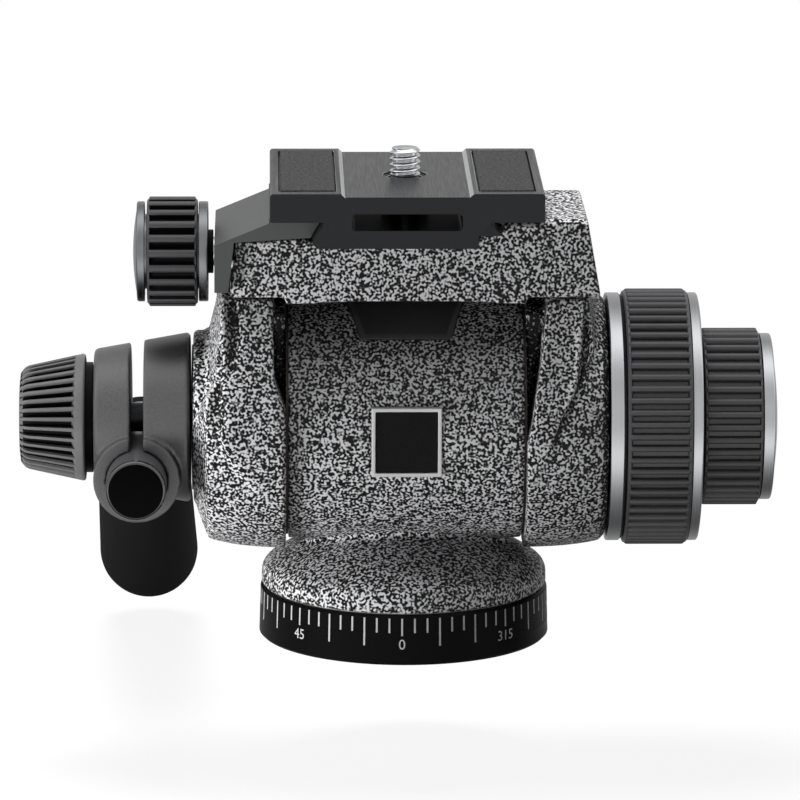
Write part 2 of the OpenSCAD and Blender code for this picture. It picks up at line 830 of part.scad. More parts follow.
// Room for the clamp knob, cut from the upper outer side of the left cheek's drum
module knob_room() {
    difference() {
        front_view(-draft_r, draft_r) polygon([
            [knob_room_x, knob_room_z], [left_end, knob_room_foot], [draft_r, knob_room_foot],
            [draft_r, draft_r], [knob_room_x, draft_r]
        ]);
        inside_draft(draft_step);
    }
}

module at_cradle_screws() {
    for (side = [-1, 1]) {
        translate([cradle_screw_x, side * cradle_screw_y, 0]) children();
    }
}

// Height of the seat for a cradle screw's head, above a cup of radius r
function screw_seat(r) = tilt_z + sqrt(r * r - pow(cradle_screw_y - cradle_head_r, 2)) + screw_seat_depth;

module cheek(end_x, cup_r, ridge, set) {
    seat_z = screw_seat(cup_r);
    color("#7c7d7f") difference() {
        at_tilt_axis() union() {
            children();
            arm(ridge, set);
        }
        at_tilt_axis() rod_x(cup_r, web_end, end_x + 1);
        at_tilt_axis() rod_x(axle_r + seat_fit, 0, end_x);
        at_cradle_screws() rod_z(cradle_head_r + seat_fit, tilt_z, seat_z);
        at_cradle_screws() rod_z(cradle_screw_r + seat_fit, tilt_z, arm_top + 1);
    }
}

module right_cheek() {
    edge_r = cheek_r - cheek_taper;
    cheek(right_end, right_cup_r, right_ridge, right_arm_set) turned_x(concat(
        drum_side(edge_r, right_end - right_lip),
        [[edge_r - right_lip, right_end], [0, right_end]]
    ));
}

module left_drum() {
    difference() {
        turned_x(concat(
            drum_side(left_edge_r, left_edge_x),
            curve([left_edge_r, left_edge_x], chamfer_bend, [boss_r - boss_edge, chamfer_end], 5),
            [[0, chamfer_end]]
        ));
        knob_room();
    }
    turned_x([
        [0, cheek_x + web_t / 2], [boss_r, cheek_x + web_t / 2], [boss_r, left_end - boss_edge],
        [boss_r - boss_edge, left_end], [0, left_end]
    ]);
}

module left_cheek() {
    at_left() cheek(left_end, left_cup_r, left_ridge, left_arm_set) left_drum();
}

module cradle_screw(seat_z) {
    difference() {
        union() {
            rod_z(cradle_head_r, seat_z - cradle_head_t, seat_z);
            rod_z(cradle_screw_r, seat_z - 1, arm_top + cradle_screw_depth);
        }
        translate([0, 0, seat_z - cradle_head_t - 1])
            cylinder(r = cradle_screw_r * hex_key_ratio, h = 1 + cradle_head_t / 2, $fn = 6);
    }
}

module cradle_screws() {
    color("#6f7276") {
        at_cradle_screws() cradle_screw(screw_seat(right_cup_r));
        at_left() at_cradle_screws() cradle_screw(screw_seat(left_cup_r));
    }
}

// Front-view outline of the platform, with its dovetail groove and fixed jaw
function platform_outline() = concat(
    [
        [-platform_left, arm_top],
        [-platform_left + platform_left_lean, floor_z],
        [-hump_x, floor_z + hump_h],
        [-hump_x, floor_z],
        [rabbet_x + face_gap, floor_z],
        [rabbet_x + face_gap, rabbet_z - face_gap],
        [dovetail_half + face_gap, rabbet_z - face_gap],
        [dovetail_half + face_gap, rabbet_z],
        [dovetail_half + face_gap - (fixed_jaw_top - rabbet_z) * dovetail_slope, fixed_jaw_top],
        [platform_right - platform_lean, fixed_jaw_top],
        [platform_right, arm_top],
        [cheek_x, arm_top]
    ],
    curve([cheek_x, arm_top - platform_sag], [0, arm_top], [-cheek_x, arm_top - platform_sag], 12),
    [[-cheek_x, arm_top]]
);

module platform() {
    low = arm_top - 2 * platform_sag;
    high = fixed_jaw_top;
    edge = platform_chamfer;
    d = platform_half_d;
    color("#7c7d7f") difference() {
        intersection() {
            front_view(-d, d) polygon(platform_outline());
            side_view(-2 * platform_right, 2 * platform_right) polygon([
                [-d, low], [d, low], [d, high - edge], [d - edge, high], [edge - d, high], [-d, high - edge]
            ]);
        }
        at_cradle_screws() rod_z(cradle_screw_r + seat_fit, low, arm_top + cradle_screw_depth);
        at_left() at_cradle_screws() rod_z(cradle_screw_r + seat_fit, low, arm_top + cradle_screw_depth);
        translate([0, 0, clamp_z])
            rod_x(clamp_screw_r + running_fit, -platform_left - 1, bore_past_end - clamp_screw_end);
        at_guide_pins() rod_x(guide_pin_r + running_fit, -platform_left - 1, bore_past_end - guide_pin_end);
    }
}

module at_guide_pins() {
    for (side = [-1, 1]) {
        translate([0, side * guide_pin_y, clamp_z]) children();
    }
}

module tilt_axle() {
    color("#8f9296") at_tilt_axis() difference() {
        rod_x(axle_r, -axle_left, axle_right);
        rod_x(axle_bore_r, drag_rod_left - 1, axle_right + 1);
        cube([2 * rotor_slot_half, 2 * (rotor_pin_r + running_fit), 3 * axle_r], center = true);
    }
}

module axle_nut() {
    color("#8f9296") at_tilt_axis() difference() {
        translate([-web_end - axle_nut_t, 0, 0]) rotate([0, 90, 0])
            cylinder(r = axle_nut_r, h = axle_nut_t, $fn = 6);
        rod_x(axle_r + seat_fit, -web_end - axle_nut_t - 1, 0);
    }
}

module drag_rotor() {
    color("#9a9ca0") at_tilt_axis() difference() {
        ring_x(axle_r + seat_fit, rotor_r, -rotor_half, rotor_half);
        rod_z(rotor_pin_r + seat_fit, -rotor_r - 1, rotor_r + 1);
    }
}

module rotor_pin() {
    color("#6f7276") at_tilt_axis() rod_z(rotor_pin_r, -rotor_pin_half, rotor_pin_half);
}

module drag_rod() {
    color("#a9abad") at_tilt_axis() difference() {
        rod_x(drag_rod_r, drag_rod_left, drag_rod_right);
        rod_z(rotor_pin_r + seat_fit, -2 * axle_r, 2 * axle_r);
    }
}

module friction_washer_right() {
    color("#3a3430") at_tilt_axis() ring_x(friction_in_r, friction_out_r, cheek_x - friction_t, cheek_x);
}

module friction_washer_left() {
    at_left() friction_washer_right();
}

module handle_hub() {
    color("#2a2a2c") at_tilt_axis() ring_x(stud_r + seat_fit, left_cup_r - seat_fit, -hub_left, -hub_right);
}

module handle_stud() {
    color("#8f9296") at_tilt_axis() rod_x(stud_r, -stud_left, -hub_right);
}

// Lock knob: turns on the axle

module lock_knob_core() {
    color("#a3a5a8") at_tilt_axis() difference() {
        turned_x([
            [0, lock_x], [lock_rim_r - rim_edge, lock_x], [lock_rim_r, lock_x + rim_edge],
            [lock_rim_r, lock_x + lock_rim_w - rim_edge], [lock_rim_r - rim_edge, lock_x + lock_rim_w],
            [lock_core_r, lock_x + lock_rim_w], [lock_core_r, lock_ring_x],
            [lock_spigot_r, lock_ring_x], [lock_spigot_r, lock_spigot_end], [0, lock_spigot_end]
        ]);
        rod_x(axle_r + running_fit, lock_x - 1, lock_end + 1);
    }
}

module lock_knob_grip() {
    end = lock_grip_x + lock_grip_len;
    color("#161617") at_tilt_axis()
        ribbed_sleeve(lock_core_r + seat_fit, lock_knob_r, lock_grip_x, end, lock_ribs);
}

module lock_knob_ring() {
    color("#8b8d90") at_tilt_axis() difference() {
        turned_x([
            [0, lock_ring_x], [lock_rim_r, lock_ring_x], [lock_rim_r, lock_end - ring_edge],
            [lock_rim_r - ring_edge, lock_end], [0, lock_end]
        ]);
        rod_x(lock_spigot_r + seat_fit, lock_ring_x - 1, lock_end + 1);
    }
}

// Drag knob: turns on the drag rod

module drag_knob_core() {
    color("#232325") at_tilt_axis() difference() {
        union() {
            rod_x(drag_core_r, drag_x, drag_cap_x);
            rod_x(drag_core_r + rubber_t / 2, drag_x, drag_x + drag_lip_w);
        }
        rod_x(drag_rod_r + running_fit, drag_x - 1, drag_rod_right + face_gap);
    }
}

module drag_knob_grip() {
    end = drag_grip_x + drag_grip_len;
    color("#161617") at_tilt_axis()
        ribbed_sleeve(drag_core_r + seat_fit, drag_knob_r, drag_grip_x, end, drag_ribs);
}

// A metal cap: a short rim with a low domed face
function cap_outline(r, x, w, rise) = concat(
    [[0, x], [r, x], [r, x + w - rim_edge], [r - rim_edge, x + w]],
    curve([r - rim_edge - cap_flat, x + w], [r / 2, x + w + rise], [0, x + w + rise], 6)
);

module drag_knob_cap() {
    color("#8b8d90") at_tilt_axis() turned_x(cap_outline(drag_cap_r, drag_cap_x, drag_cap_w, drag_cap_rise));
}

// Clamp jaw: slides out on the platform

function jaw_outline() = [
    [-jaw_out, jaw_foot_z],
    [-jaw_out, floor_z - jaw_wall_drop],
    [-jaw_shoulder_x, floor_z - jaw_wall_drop + jaw_slope_h],
    [-jaw_shoulder_x, jaw_top_z],
    [-neck_half - face_gap, jaw_top_z],
    [-neck_half - face_gap, neck_z],
    [-dovetail_half - face_gap, jaw_lip_z + foot_chamfer],
    [platform_left_lean - jaw_in, jaw_lip_z],
    [-jaw_in, jaw_foot_z]
];

module clamp_jaw() {
    color("#5b5d60") difference() {
        front_view(-jaw_half_len, jaw_half_len) polygon(jaw_outline());
        translate([0, 0, clamp_z]) rod_x(clamp_screw_r + running_fit, -jaw_out - 1, -jaw_in + 1);
        at_guide_pins() rod_x(guide_pin_r + seat_fit, -jaw_in - pin_seat, -jaw_in + 1);
    }
}

module jaw_guide_pins() {
    color("#a9abad") at_guide_pins() rod_x(guide_pin_r, -jaw_in - pin_seat, -guide_pin_end);
}

// Clamp knob: turns in the jaw and moves with it

module clamp_screw() {
    color("#a9abad") translate([0, 0, clamp_z]) rod_x(clamp_screw_r, -clamp_screw_tip, -clamp_screw_end);
}

module clamp_knob_core() {
    color("#a3a5a8") translate([0, 0, clamp_z]) at_left() difference() {
        turned_x([
            [0, clamp_stub_x], [clamp_stub_r, clamp_stub_x], [clamp_stub_r, clamp_rim_x],
            [clamp_rim_r - rim_edge, clamp_rim_x], [clamp_rim_r, clamp_rim_x + rim_edge],
            [clamp_rim_r, clamp_rim_x + clamp_rim_w], [clamp_core_r, clamp_rim_x + clamp_rim_w],
            [clamp_core_r, clamp_cap_x], [0, clamp_cap_x]
        ]);
        rod_x(clamp_screw_r + seat_fit, clamp_stub_x - 1, clamp_screw_tip);
    }
}

module clamp_knob_grip() {
    end = clamp_grip_x + clamp_grip_len;
    color("#161617") translate([0, 0, clamp_z]) at_left()
        ribbed_sleeve(clamp_core_r + seat_fit, clamp_knob_r, clamp_grip_x, end, clamp_ribs);
}

module clamp_knob_cap() {
    color("#8b8d90") translate([0, 0, clamp_z]) at_left()
        turned_x(cap_outline(clamp_rim_r, clamp_cap_x, clamp_cap_w, clamp_cap_rise));
}

// Camera plate: slides front to back in the jaws

function plate_outline() = [
    [-dovetail_half, plate_z + foot_chamfer],
    [-dovetail_half + foot_chamfer, plate_z],
    [rabbet_x, plate_z],
    [rabbet_x, rabbet_z],
    [dovetail_half, rabbet_z],
    [neck_half, neck_z],
    [neck_half, flange_z],
    [plate_half, flange_z],
    [plate_half, plate_top - plate_edge],
    [plate_half - plate_edge, plate_top],
    [channel_half + channel_depth, plate_top],
    [channel_half, channel_z],
    [-channel_half, channel_z],
    [-channel_half - channel_depth, plate_top],
    [plate_edge - plate_half, plate_top],
    [-plate_half, plate_top - plate_edge],
    [-plate_half, flange_z],
    [-neck_half, flange_z],
    [-neck_half, neck_z]
];

module pad_block(extra, z0, z1) {
    translate([-pad_w / 2 - extra, -pad_len / 2 - extra, z0])
        cube([pad_w + 2 * extra, pad_len + 2 * extra, z1 - z0]);
}

module camera_plate() {
    slot_half = slot_w / 2;
    color("#3d3f42") difference() {
        front_view(-plate_half_len, plate_half_len) polygon(plate_outline());
        front_view(-plate_half_len - 1, plate_half_len + 1) polygon(concat(
            arc([slot_half - slot_corner, slot_z + slot_h - slot_corner], slot_corner, 0, 90, 5),
            arc([slot_corner - slot_half, slot_z + slot_h - slot_corner], slot_corner, 90, 180, 5),
            arc([slot_corner - slot_half, slot_z + slot_corner], slot_corner, 180, 270, 5),
            arc([slot_half - slot_corner, slot_z + slot_corner], slot_corner, 270, 360, 5)
        ));
        rod_z(camera_screw_r + face_gap, slot_z, plate_top + 1);
        rod_z(screw_rim_r, channel_z - screw_rim_depth, plate_top + 1);
        rod_z(screw_neck_r + face_gap, plate_z, slot_z + 1);
        rod_z(screw_head_r + face_gap, plate_z - 1, screw_head_z + screw_head_t + screw_head_gap);
        for (side = [-1, 1]) {
            translate([side * pad_x, 0, 0]) pad_block(pad_gap, pad_z, plate_top + 1);
        }
    }
}

module pad_right() {
    color("#202022") translate([pad_x, 0, 0]) pad_block(0, pad_z, plate_top + pad_proud);
}

module pad_left() {
    color("#202022") translate([-pad_x, 0, 0]) pad_block(0, pad_z, plate_top + pad_proud);
}

module camera_screw() {
    color("#b9babc") difference() {
        union() {
            rod_z(screw_head_r, screw_head_z, screw_head_z + screw_head_t);
            rod_z(screw_neck_r, screw_head_z, screw_thread_z + thread_lift);
            rotate_extrude() polygon([
                [0, screw_thread_z], [camera_screw_r, screw_thread_z],
                [camera_screw_r, screw_top - screw_tip_chamfer],
                [camera_screw_r - screw_tip_chamfer, screw_top], [0, screw_top]
            ]);
        }
        translate([-screw_head_r, -screw_slot_w / 2, screw_head_z - 1])
            cube([2 * screw_head_r, screw_slot_w, screw_slot_depth + 1]);
    }
}

module screw_clip() {
    color("#6f7276") ring_z(screw_neck_r + seat_fit, clip_r, slot_z + face_gap, slot_z + face_gap + clip_t);
}

// Bar clamp: turns on the handle stud

module bar_clamp() {
    color("#1a1a1b") difference() {
        union() {
            at_tilt_axis() at_left() turned_x([
                [0, bar_clamp_x], [bar_clamp_large_r - clamp_edge, bar_clamp_x],
                [bar_clamp_large_r, bar_clamp_x + clamp_edge],
                [bar_clamp_small_r, bar_clamp_end - clamp_edge],
                [bar_clamp_small_r - clamp_edge, bar_clamp_end], [0, bar_clamp_end]
            ]);
            translate([bar_x, 0, bar_z]) rod_y(bar_boss_r, -bar_boss_half, bar_boss_half);
        }
        translate([bar_x, 0, bar_z]) rod_y(bar_r + running_fit, -2 * bar_boss_half, 2 * bar_boss_half);
        at_tilt_axis() rod_x(stud_r + running_fit, -bar_clamp_end - 1, 1 - bar_clamp_x);
        translate([bar_x - slit_w / 2, -2 * bar_boss_half, bar_z])
            cube([slit_w, 4 * bar_boss_half, 2 * bar_clamp_large_r]);
    }
}

// Cone knob: turns on the handle stud

module cone_knob() {
    rise = cone_knob_large_r - cone_knob_small_r;
    slope = atan2(rise, cone_knob_len);
    color("#1b1b1c") at_tilt_axis() at_left() difference() {
        turned_x(concat(
            [[0, cone_x], [cone_knob_large_r - cone_edge, cone_x], [cone_knob_large_r, cone_x + cone_edge]],
            curve(
                [cone_knob_small_r + cone_round * tan(slope), cone_end - cone_round],
                [cone_knob_small_r, cone_end], [cone_knob_small_r - cone_round, cone_end], 5
            ),
            [[0, cone_end]]
        ));
        for (i = [0:cone_flutes - 1]) {
            rotate([i * 360 / cone_flutes, 0, 0]) translate([cone_end, 0, cone_knob_small_r + flute_r * 0.4])
                rotate([0, slope - 90, 0]) translate([0, 0, -flute_stop])
                    cylinder(r = flute_r, h = cone_knob_len, $fn = 16);
        }
        rod_x(insert_r + seat_fit, cone_x - 1, insert_end);
    }
}

module cone_knob_insert() {
    color("#b08d57") at_tilt_axis() at_left() difference() {
        rod_x(insert_r, cone_x, insert_end);
        rod_x(stud_r + running_fit, cone_x - 1, stud_left + face_gap);
    }
}

module cone_knob_neck() {
    color("#141415") at_tilt_axis() at_left() ring_x(stud_r + running_fit, neck_r, neck_x, cone_x);
}

// Pan bar: slides in the bar clamp

module at_bar() {
    translate([bar_x, 0, bar_z]) children();
}

module at_tail() {
    translate([bar_x, bend_end_y, bend_end_z]) rotate([-90 - bar_bend, 0, 0]) children();
}

module pan_bar() {
    color("#202022") {
        at_bar() difference() {
            rod_y(bar_r, bar_front_y + plug_t, bar_bend_y);
            rod_y(bar_in_r, bar_front_y, bar_bend_y + 1);
        }
        translate([bar_x, bar_bend_y, bar_z - bar_bend_r]) rotate([0, -90, 0])
            rotate_extrude(angle = bar_bend) translate([bar_bend_r, 0]) difference() {
                circle(bar_r);
                circle(bar_in_r);
            }
        at_tail() ring_z(tail_in_r, tail_r, -tail_overlap, bar_tail);
    }
}

module bar_end_plug() {
    color("#0d0d0e") at_bar() difference() {
        union() {
            rod_y(bar_r, bar_front_y, bar_front_y + plug_t);
            rod_y(bar_in_r - seat_fit, bar_front_y, bar_front_y + plug_t + plug_reach);
        }
        translate([0, bar_front_y, 0]) rod_y(bar_in_r, -1, plug_t / 2);
    }
}

module bar_grip() {
    end = bar_tail + grip_cap;
    color("#17171a") at_tail() difference() {
        rotate_extrude() polygon(concat(
            [[0, grip_start], [grip_front_r - grip_edge, grip_start], [grip_front_r, grip_start + grip_edge]],
            arc([0, end], grip_r, 0, 90, 12)
        ));
        rod_z(tail_r + seat_fit, grip_start - 1, bar_tail + seat_fit);
    }
}

base_ring();
pan_spindle();
spindle_screws();
thrust_ring();
pan_drag_ring();
pan_washer();
pan_nut();
pan_housing();
pan_bush();
badge_frame();
badge_plate();
pocket_liner();
tilt_bush_left();
tilt_bush_right();
tilt_end_cap();
tilt_drag_cup();
left_cheek();
right_cheek();
platform();
cradle_screws();
tilt_axle();
axle_nut();
drag_rotor();
rotor_pin();
drag_rod();
friction_washer_left();
friction_washer_right();
handle_hub();
handle_stud();
lock_knob_core();
lock_knob_grip();
lock_knob_ring();
drag_knob_core();
drag_knob_grip();
drag_knob_cap();
clamp_jaw();
jaw_guide_pins();
clamp_screw();
clamp_knob_core();
clamp_knob_grip();
clamp_knob_cap();
camera_plate();
pad_left();
pad_right();
camera_screw();
screw_clip();
bar_clamp();
cone_knob();
cone_knob_insert();
cone_knob_neck();
pan_bar();
bar_end_plug();
bar_grip();
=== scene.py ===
"""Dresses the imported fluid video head: soft-edged castings, ribbed rubber, turned rings, a printed degree scale and a
threaded camera screw, each riding on its own body, under plain studio light."""
import json
import logging
import math
from dataclasses import dataclass
from enum import Enum
from typing import Callable, Sequence

import bmesh
import bpy
from mathutils import Matrix, Vector


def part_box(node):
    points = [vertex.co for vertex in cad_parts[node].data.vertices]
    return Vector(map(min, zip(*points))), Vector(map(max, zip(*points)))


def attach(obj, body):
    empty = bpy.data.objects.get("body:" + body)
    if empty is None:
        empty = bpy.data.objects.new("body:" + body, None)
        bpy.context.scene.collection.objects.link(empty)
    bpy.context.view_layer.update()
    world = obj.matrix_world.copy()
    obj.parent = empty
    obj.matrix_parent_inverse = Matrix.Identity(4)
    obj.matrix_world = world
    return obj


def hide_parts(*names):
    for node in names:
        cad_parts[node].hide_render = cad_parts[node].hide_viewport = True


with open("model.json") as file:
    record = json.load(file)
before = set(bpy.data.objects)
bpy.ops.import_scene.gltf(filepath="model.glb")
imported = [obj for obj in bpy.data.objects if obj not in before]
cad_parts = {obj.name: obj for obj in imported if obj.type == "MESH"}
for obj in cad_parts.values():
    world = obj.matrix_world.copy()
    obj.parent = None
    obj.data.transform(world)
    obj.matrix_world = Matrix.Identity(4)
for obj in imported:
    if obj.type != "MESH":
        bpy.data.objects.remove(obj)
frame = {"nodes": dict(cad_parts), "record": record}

LOG = logging.getLogger("video_head")
MM = 0.001
# Corners nearer than this are one
JOIN_MM = 0.002
# Faces that meet flatter than the first angle are one, edges sharper than the second are broken, and edges sharper
# than the third keep a hard line
FLAT_DEG, BROKEN_DEG, HARD_DEG = 0.5, 40.0, 20.0
# Most of a noise's values lie between these
NOISE_LOW, NOISE_HIGH = 0.3, 0.7
BODY_OF = {node: body for body, nodes in frame["record"]["behaviour"]["bodies"].items() for node in nodes}
SLOT_OF = {part["node"]: part["material_slot"] for part in frame["record"]["subparts"]}

Colour = tuple[float, float, float, float]
Corner = tuple[float, float, float]


def linear(colour: str, gain: float = 1.0) -> Colour:
    """Turns an sRGB hex colour into linear light.

    Args:
        colour: The colour as "#rrggbb".
        gain: How many times brighter it comes out.

    Returns:
        Linear red, green, blue and a full alpha.
    """
    parts = [int(colour[i:i + 2], 16) / 255 for i in (1, 3, 5)]
    lit = [p / 12.92 if p <= 0.04045 else ((p + 0.055) / 1.055) ** 2.4 for p in parts]
    return (*(min(1.0, p * gain) for p in lit), 1.0)


def add(tree: bpy.types.NodeTree, kind: str, inputs: dict | None = None, **settings: object) -> bpy.types.Node:
    """Adds a node with its settings and links.

    Args:
        tree: The tree that gets the node.
        kind: The node's type.
        inputs: What each input gets: a value, or an output to link.
        settings: Other settings of the node.

    Returns:
        The new node.
    """
    made = tree.nodes.new(kind)
    for name, value in settings.items():
        setattr(made, name, value)
    for name, value in (inputs or {}).items():
        if isinstance(value, bpy.types.NodeSocket):
            tree.links.new(value, made.inputs[name])
        else:
            made.inputs[name].default_value = value
    return made


class Lay(Enum):
    """The way that a surface's fine marks run: how fast they change along x, y and z."""

    ROUND_X = (1.0, 0.004, 0.004)
    ROUND_Z = (0.004, 0.004, 1.0)
    ALONG_Y = (1.0, 0.03, 1.0)
    EVEN = (1.0, 1.0, 1.0)


@dataclass(frozen=True)
class Finish:
    """A material with fine marks in its tone, gloss and relief.

    name says what it is, slot is the record's slot, and grain_mm is the size of its marks. tone is how far its
    brightness strays, spread how far its roughness does, and relief_mm is the height of its marks. specular is how
    strongly a dielectric reflects; a metal keeps 0.5.
    """

    name: str
    slot: str
    colour: str
    roughness: float
    grain_mm: float
    tone: float = 0.1
    spread: float = 0.06
    relief_mm: float = 0.0
    metallic: float = 0.0
    lay: Lay = Lay.EVEN
    specular: float = 0.5

    def material(self) -> bpy.types.Material:
        """Makes the material, or finds it where it is made already.

        Returns:
            The material.
        """
        found = bpy.data.materials.get(self.name)
        if found:
            return found
        made = bpy.data.materials.new(self.name)
        made.use_nodes = True
        shader = made.node_tree.nodes["Principled BSDF"]
        shader.inputs["Metallic"].default_value = self.metallic
        shader.inputs["Specular IOR Level"].default_value = self.specular
        self.draw(made.node_tree, shader)
        return made

    def marks(self, tree: bpy.types.NodeTree, detail: float, distortion: float) -> bpy.types.NodeSocket:
        """Lays the noise that the marks come from.

        Args:
            tree: The material's tree.
            detail: How many finer noises lie on the first.
            distortion: How far the noise winds.

        Returns:
            The noise, from 0 to 1.
        """
        place = add(tree, "ShaderNodeTexCoord").outputs["Object"]
        laid = add(tree, "ShaderNodeMapping", {"Vector": place, "Scale": self.lay.value}).outputs["Vector"]
        return add(tree, "ShaderNodeTexNoise", {
            "Vector": laid, "Scale": 1 / (self.grain_mm * MM), "Detail": detail, "Distortion": distortion,
        }).outputs["Fac"]

    def relieve(self, tree: bpy.types.NodeTree, shader: bpy.types.Node, height: bpy.types.NodeSocket) -> None:
        """Raises the surface by the marks' height.

        Args:
            tree: The material's tree.
            shader: Its surface shader.
            height: The marks, from 0 to 1.
        """
        if self.relief_mm:
            bump = add(tree, "ShaderNodeBump", {"Height": height, "Strength": 1.0, "Distance": self.relief_mm * MM})
            tree.links.new(bump.outputs["Normal"], shader.inputs["Normal"])

    def draw(self, tree: bpy.types.NodeTree, shader: bpy.types.Node) -> None:
        """Draws the marks in tone, gloss and relief.

        Args:
            tree: The material's tree.
            shader: Its surface shader.
        """
        marks = self.marks(tree, 4.0, 0.0)
        tones = add(tree, "ShaderNodeValToRGB", {"Fac": marks})
        ends = ((NOISE_LOW, 1 - self.tone), (NOISE_HIGH, 1 + self.tone))
        for stop, (place, gain) in zip(tones.color_ramp.elements, ends):
            stop.position, stop.color = place, linear(self.colour, gain)
        gloss = add(tree, "ShaderNodeMapRange", {
            "Value": marks, "From Min": NOISE_LOW, "From Max": NOISE_HIGH,
            "To Min": self.roughness - self.spread, "To Max": self.roughness + self.spread,
        })
        tree.links.new(tones.outputs["Color"], shader.inputs["Base Color"])
        tree.links.new(gloss.outputs["Result"], shader.inputs["Roughness"])
        self.relieve(tree, shader, marks)


@dataclass(frozen=True)
class SpeckleEnamel(Finish):
    """Two-tone stoved enamel: light worms wind through a dark ground, a little raised and glossier than it.

    Shade is painted in with the mesh's point attribute of painted shade: where it is 1, in creases, slots and gaps,
    the dark ground spreads, and where it is below 0, on ridges, the worms spread as a painted highlight.
    stops are the noise's values where the ground ends, where the worms' edge lies and where they are fully light.
    """

    ground: str = "#050506"
    pooling: float = 0.13
    stops: Corner = (0.43, 0.52, 0.60)
    edge_gain: float = 0.3
    gloss_from: float = 0.45
    shine_from: float = 0.47
    shine_to: float = 0.56
    shine: float = 0.1

    def draw(self, tree: bpy.types.NodeTree, shader: bpy.types.Node) -> None:
        """Draws light worms on the dark ground.

        Args:
            tree: The material's tree.
            shader: Its surface shader.
        """
        # Painted shade and highlight: the painted-shade attribute pulls the worms towards the dark ground, or lifts
        # them on ridges
        painted_shade = add(tree, "ShaderNodeAttribute", attribute_name="painted_shade").outputs["Fac"]
        worms = add(tree, "ShaderNodeMath", {0: painted_shade, 1: -self.pooling, 2: self.marks(tree, 0.3, 0.15)},
                    operation="MULTIPLY_ADD").outputs[0]
        tones = add(tree, "ShaderNodeValToRGB", {"Fac": worms})
        ground_end, edge, worm_start = self.stops
        low, high = tones.color_ramp.elements
        low.position, low.color = ground_end, linear(self.ground)
        high.position, high.color = worm_start, linear(self.colour)
        tones.color_ramp.elements.new(edge).color = linear(self.colour, self.edge_gain)
        gloss = add(tree, "ShaderNodeMapRange", {
            "Value": worms, "From Min": self.gloss_from, "From Max": worm_start,
            "To Min": self.roughness + self.spread, "To Max": self.roughness - self.spread,
        })
        shine = add(tree, "ShaderNodeMapRange", {
            "Value": worms, "From Min": self.shine_from, "From Max": self.shine_to,
            "To Min": 0.0, "To Max": self.shine,
        })
        tree.links.new(tones.outputs["Color"], shader.inputs["Base Color"])
        tree.links.new(gloss.outputs["Result"], shader.inputs["Roughness"])
        tree.links.new(shine.outputs["Result"], shader.inputs["Metallic"])
        self.relieve(tree, shader, worms)


# Stoved speckle enamel on die-cast aluminium: black and silver-grey worms about 0.7 mm wide, satin gloss
SPECKLE = SpeckleEnamel("speckle enamel", "speckle_enamel", "#e6e6e8", 0.50, 0.55, spread=0.06, relief_mm=0.035,
                        specular=0.15)
# Black anodised aluminium, turned: nearly black, with faint tool marks round it
BLACK_ANODISED = Finish("black anodised aluminium", "black_anodised", "#0e0e0f", 0.36, 0.4, 0.15, lay=Lay.ROUND_Z,
                        specular=0.03)
# Dark grey anodised aluminium, extruded and milled: fine lines along its length
GREY_ANODISED = Finish("grey anodised aluminium", "grey_anodised", "#222324", 0.40, 0.3, 0.08, metallic=0.4,
                       lay=Lay.ALONG_Y)
# The plate's sawn ends, anodised with the rest: darker and duller than its drawn faces
SAWN_ANODISED = Finish("sawn grey anodised aluminium", "grey_anodised", "#17181a", 0.45, 0.3, 0.08, metallic=0.3,
                       specular=0.27)
# Bare edges that a diamond tool cut in the plate: bright lines
CUT_EDGE = Finish("diamond-cut aluminium", "satin_silver", "#b9babc", 0.28, 0.3, 0.04, metallic=1.0, lay=Lay.ALONG_Y)
# The badge frame's metal drawn as pale, barely metallic paint: a painted reflection, bright from every side
FRAME_PAINTED_REFLECTION = Finish("pale silver paint, painted reflection", "satin_silver", "#d6d6d7", 0.45, 0.3, 0.04, metallic=0.2)
# Mid grey anodised aluminium, bead-blasted: even and satin
JAW_ANODISED = Finish("blasted anodised aluminium", "jaw_anodised", "#424343", 0.45, 0.25, 0.06, metallic=0.5)
# Turned aluminium, satin: faint rings left by the tool
SATIN_SILVER = Finish("turned aluminium", "satin_silver", "#9c9d9f", 0.26, 0.25, 0.07, metallic=1.0, lay=Lay.ROUND_X)
# Turned aluminium, grey anodised: the clamp knob's rims, darker than the side knobs' rings
CLAMP_SILVER = Finish("grey turned aluminium", "satin_silver", "#6e6f71", 0.26, 0.25, 0.07, metallic=1.0,
                      lay=Lay.ROUND_X)
# Turned steel, bright: sharp reflections
BRIGHT_STEEL = Finish("turned steel", "bright_steel", "#c4c5c7", 0.18, 0.2, 0.05, metallic=1.0, lay=Lay.ROUND_Z)
# Blackened steel: dark oxide with a dull shine
DARK_STEEL = Finish("blackened steel", "dark_steel", "#2f3032", 0.40, 0.3, 0.1, metallic=1.0)
# Sintered bronze: brownish and open-grained
BRONZE = Finish("sintered bronze", "bronze", "#9c7c4c", 0.45, 0.2, 0.15, relief_mm=0.01, metallic=1.0)
# Moulded rubber: black, dull, with a faint mould texture
RUBBER = Finish("moulded rubber", "black_rubber", "#38383a", 0.44, 0.3, 0.2, relief_mm=0.015)
# The same rubber deep between the ribs, drawn black and without shine: painted shade
RUBBER_VALLEY_SHADE = Finish("shaded moulded rubber", "black_rubber", "#161617", 0.9, 0.3, 0.2, specular=0.05)
# Foam rubber of the grip: black and quite dull
FOAM = Finish("foam rubber", "black_rubber", "#1a1a1b", 0.85, 0.4, 0.25, relief_mm=0.03, specular=0.04)
# Cork rubber of the plate's pads: dark grey and matt, mottled by its grains
PAD_RUBBER = Finish("cork rubber", "black_rubber", "#363637", 0.8, 0.6, 0.95, relief_mm=0.1, specular=0.2)
# Powder coat: black, satin, with a fine orange peel
POWDER = Finish("black powder coat", "black_powder", "#3c3c3d", 0.40, 0.35, 0.35, relief_mm=0.04, specular=0.75)
# Satin black coat on the bar: smoother than the clamp, with a clear sheen
BAR_COAT = Finish("satin black coat", "black_powder", "#3a3a3c", 0.34, 0.4, 0.1, specular=0.6)
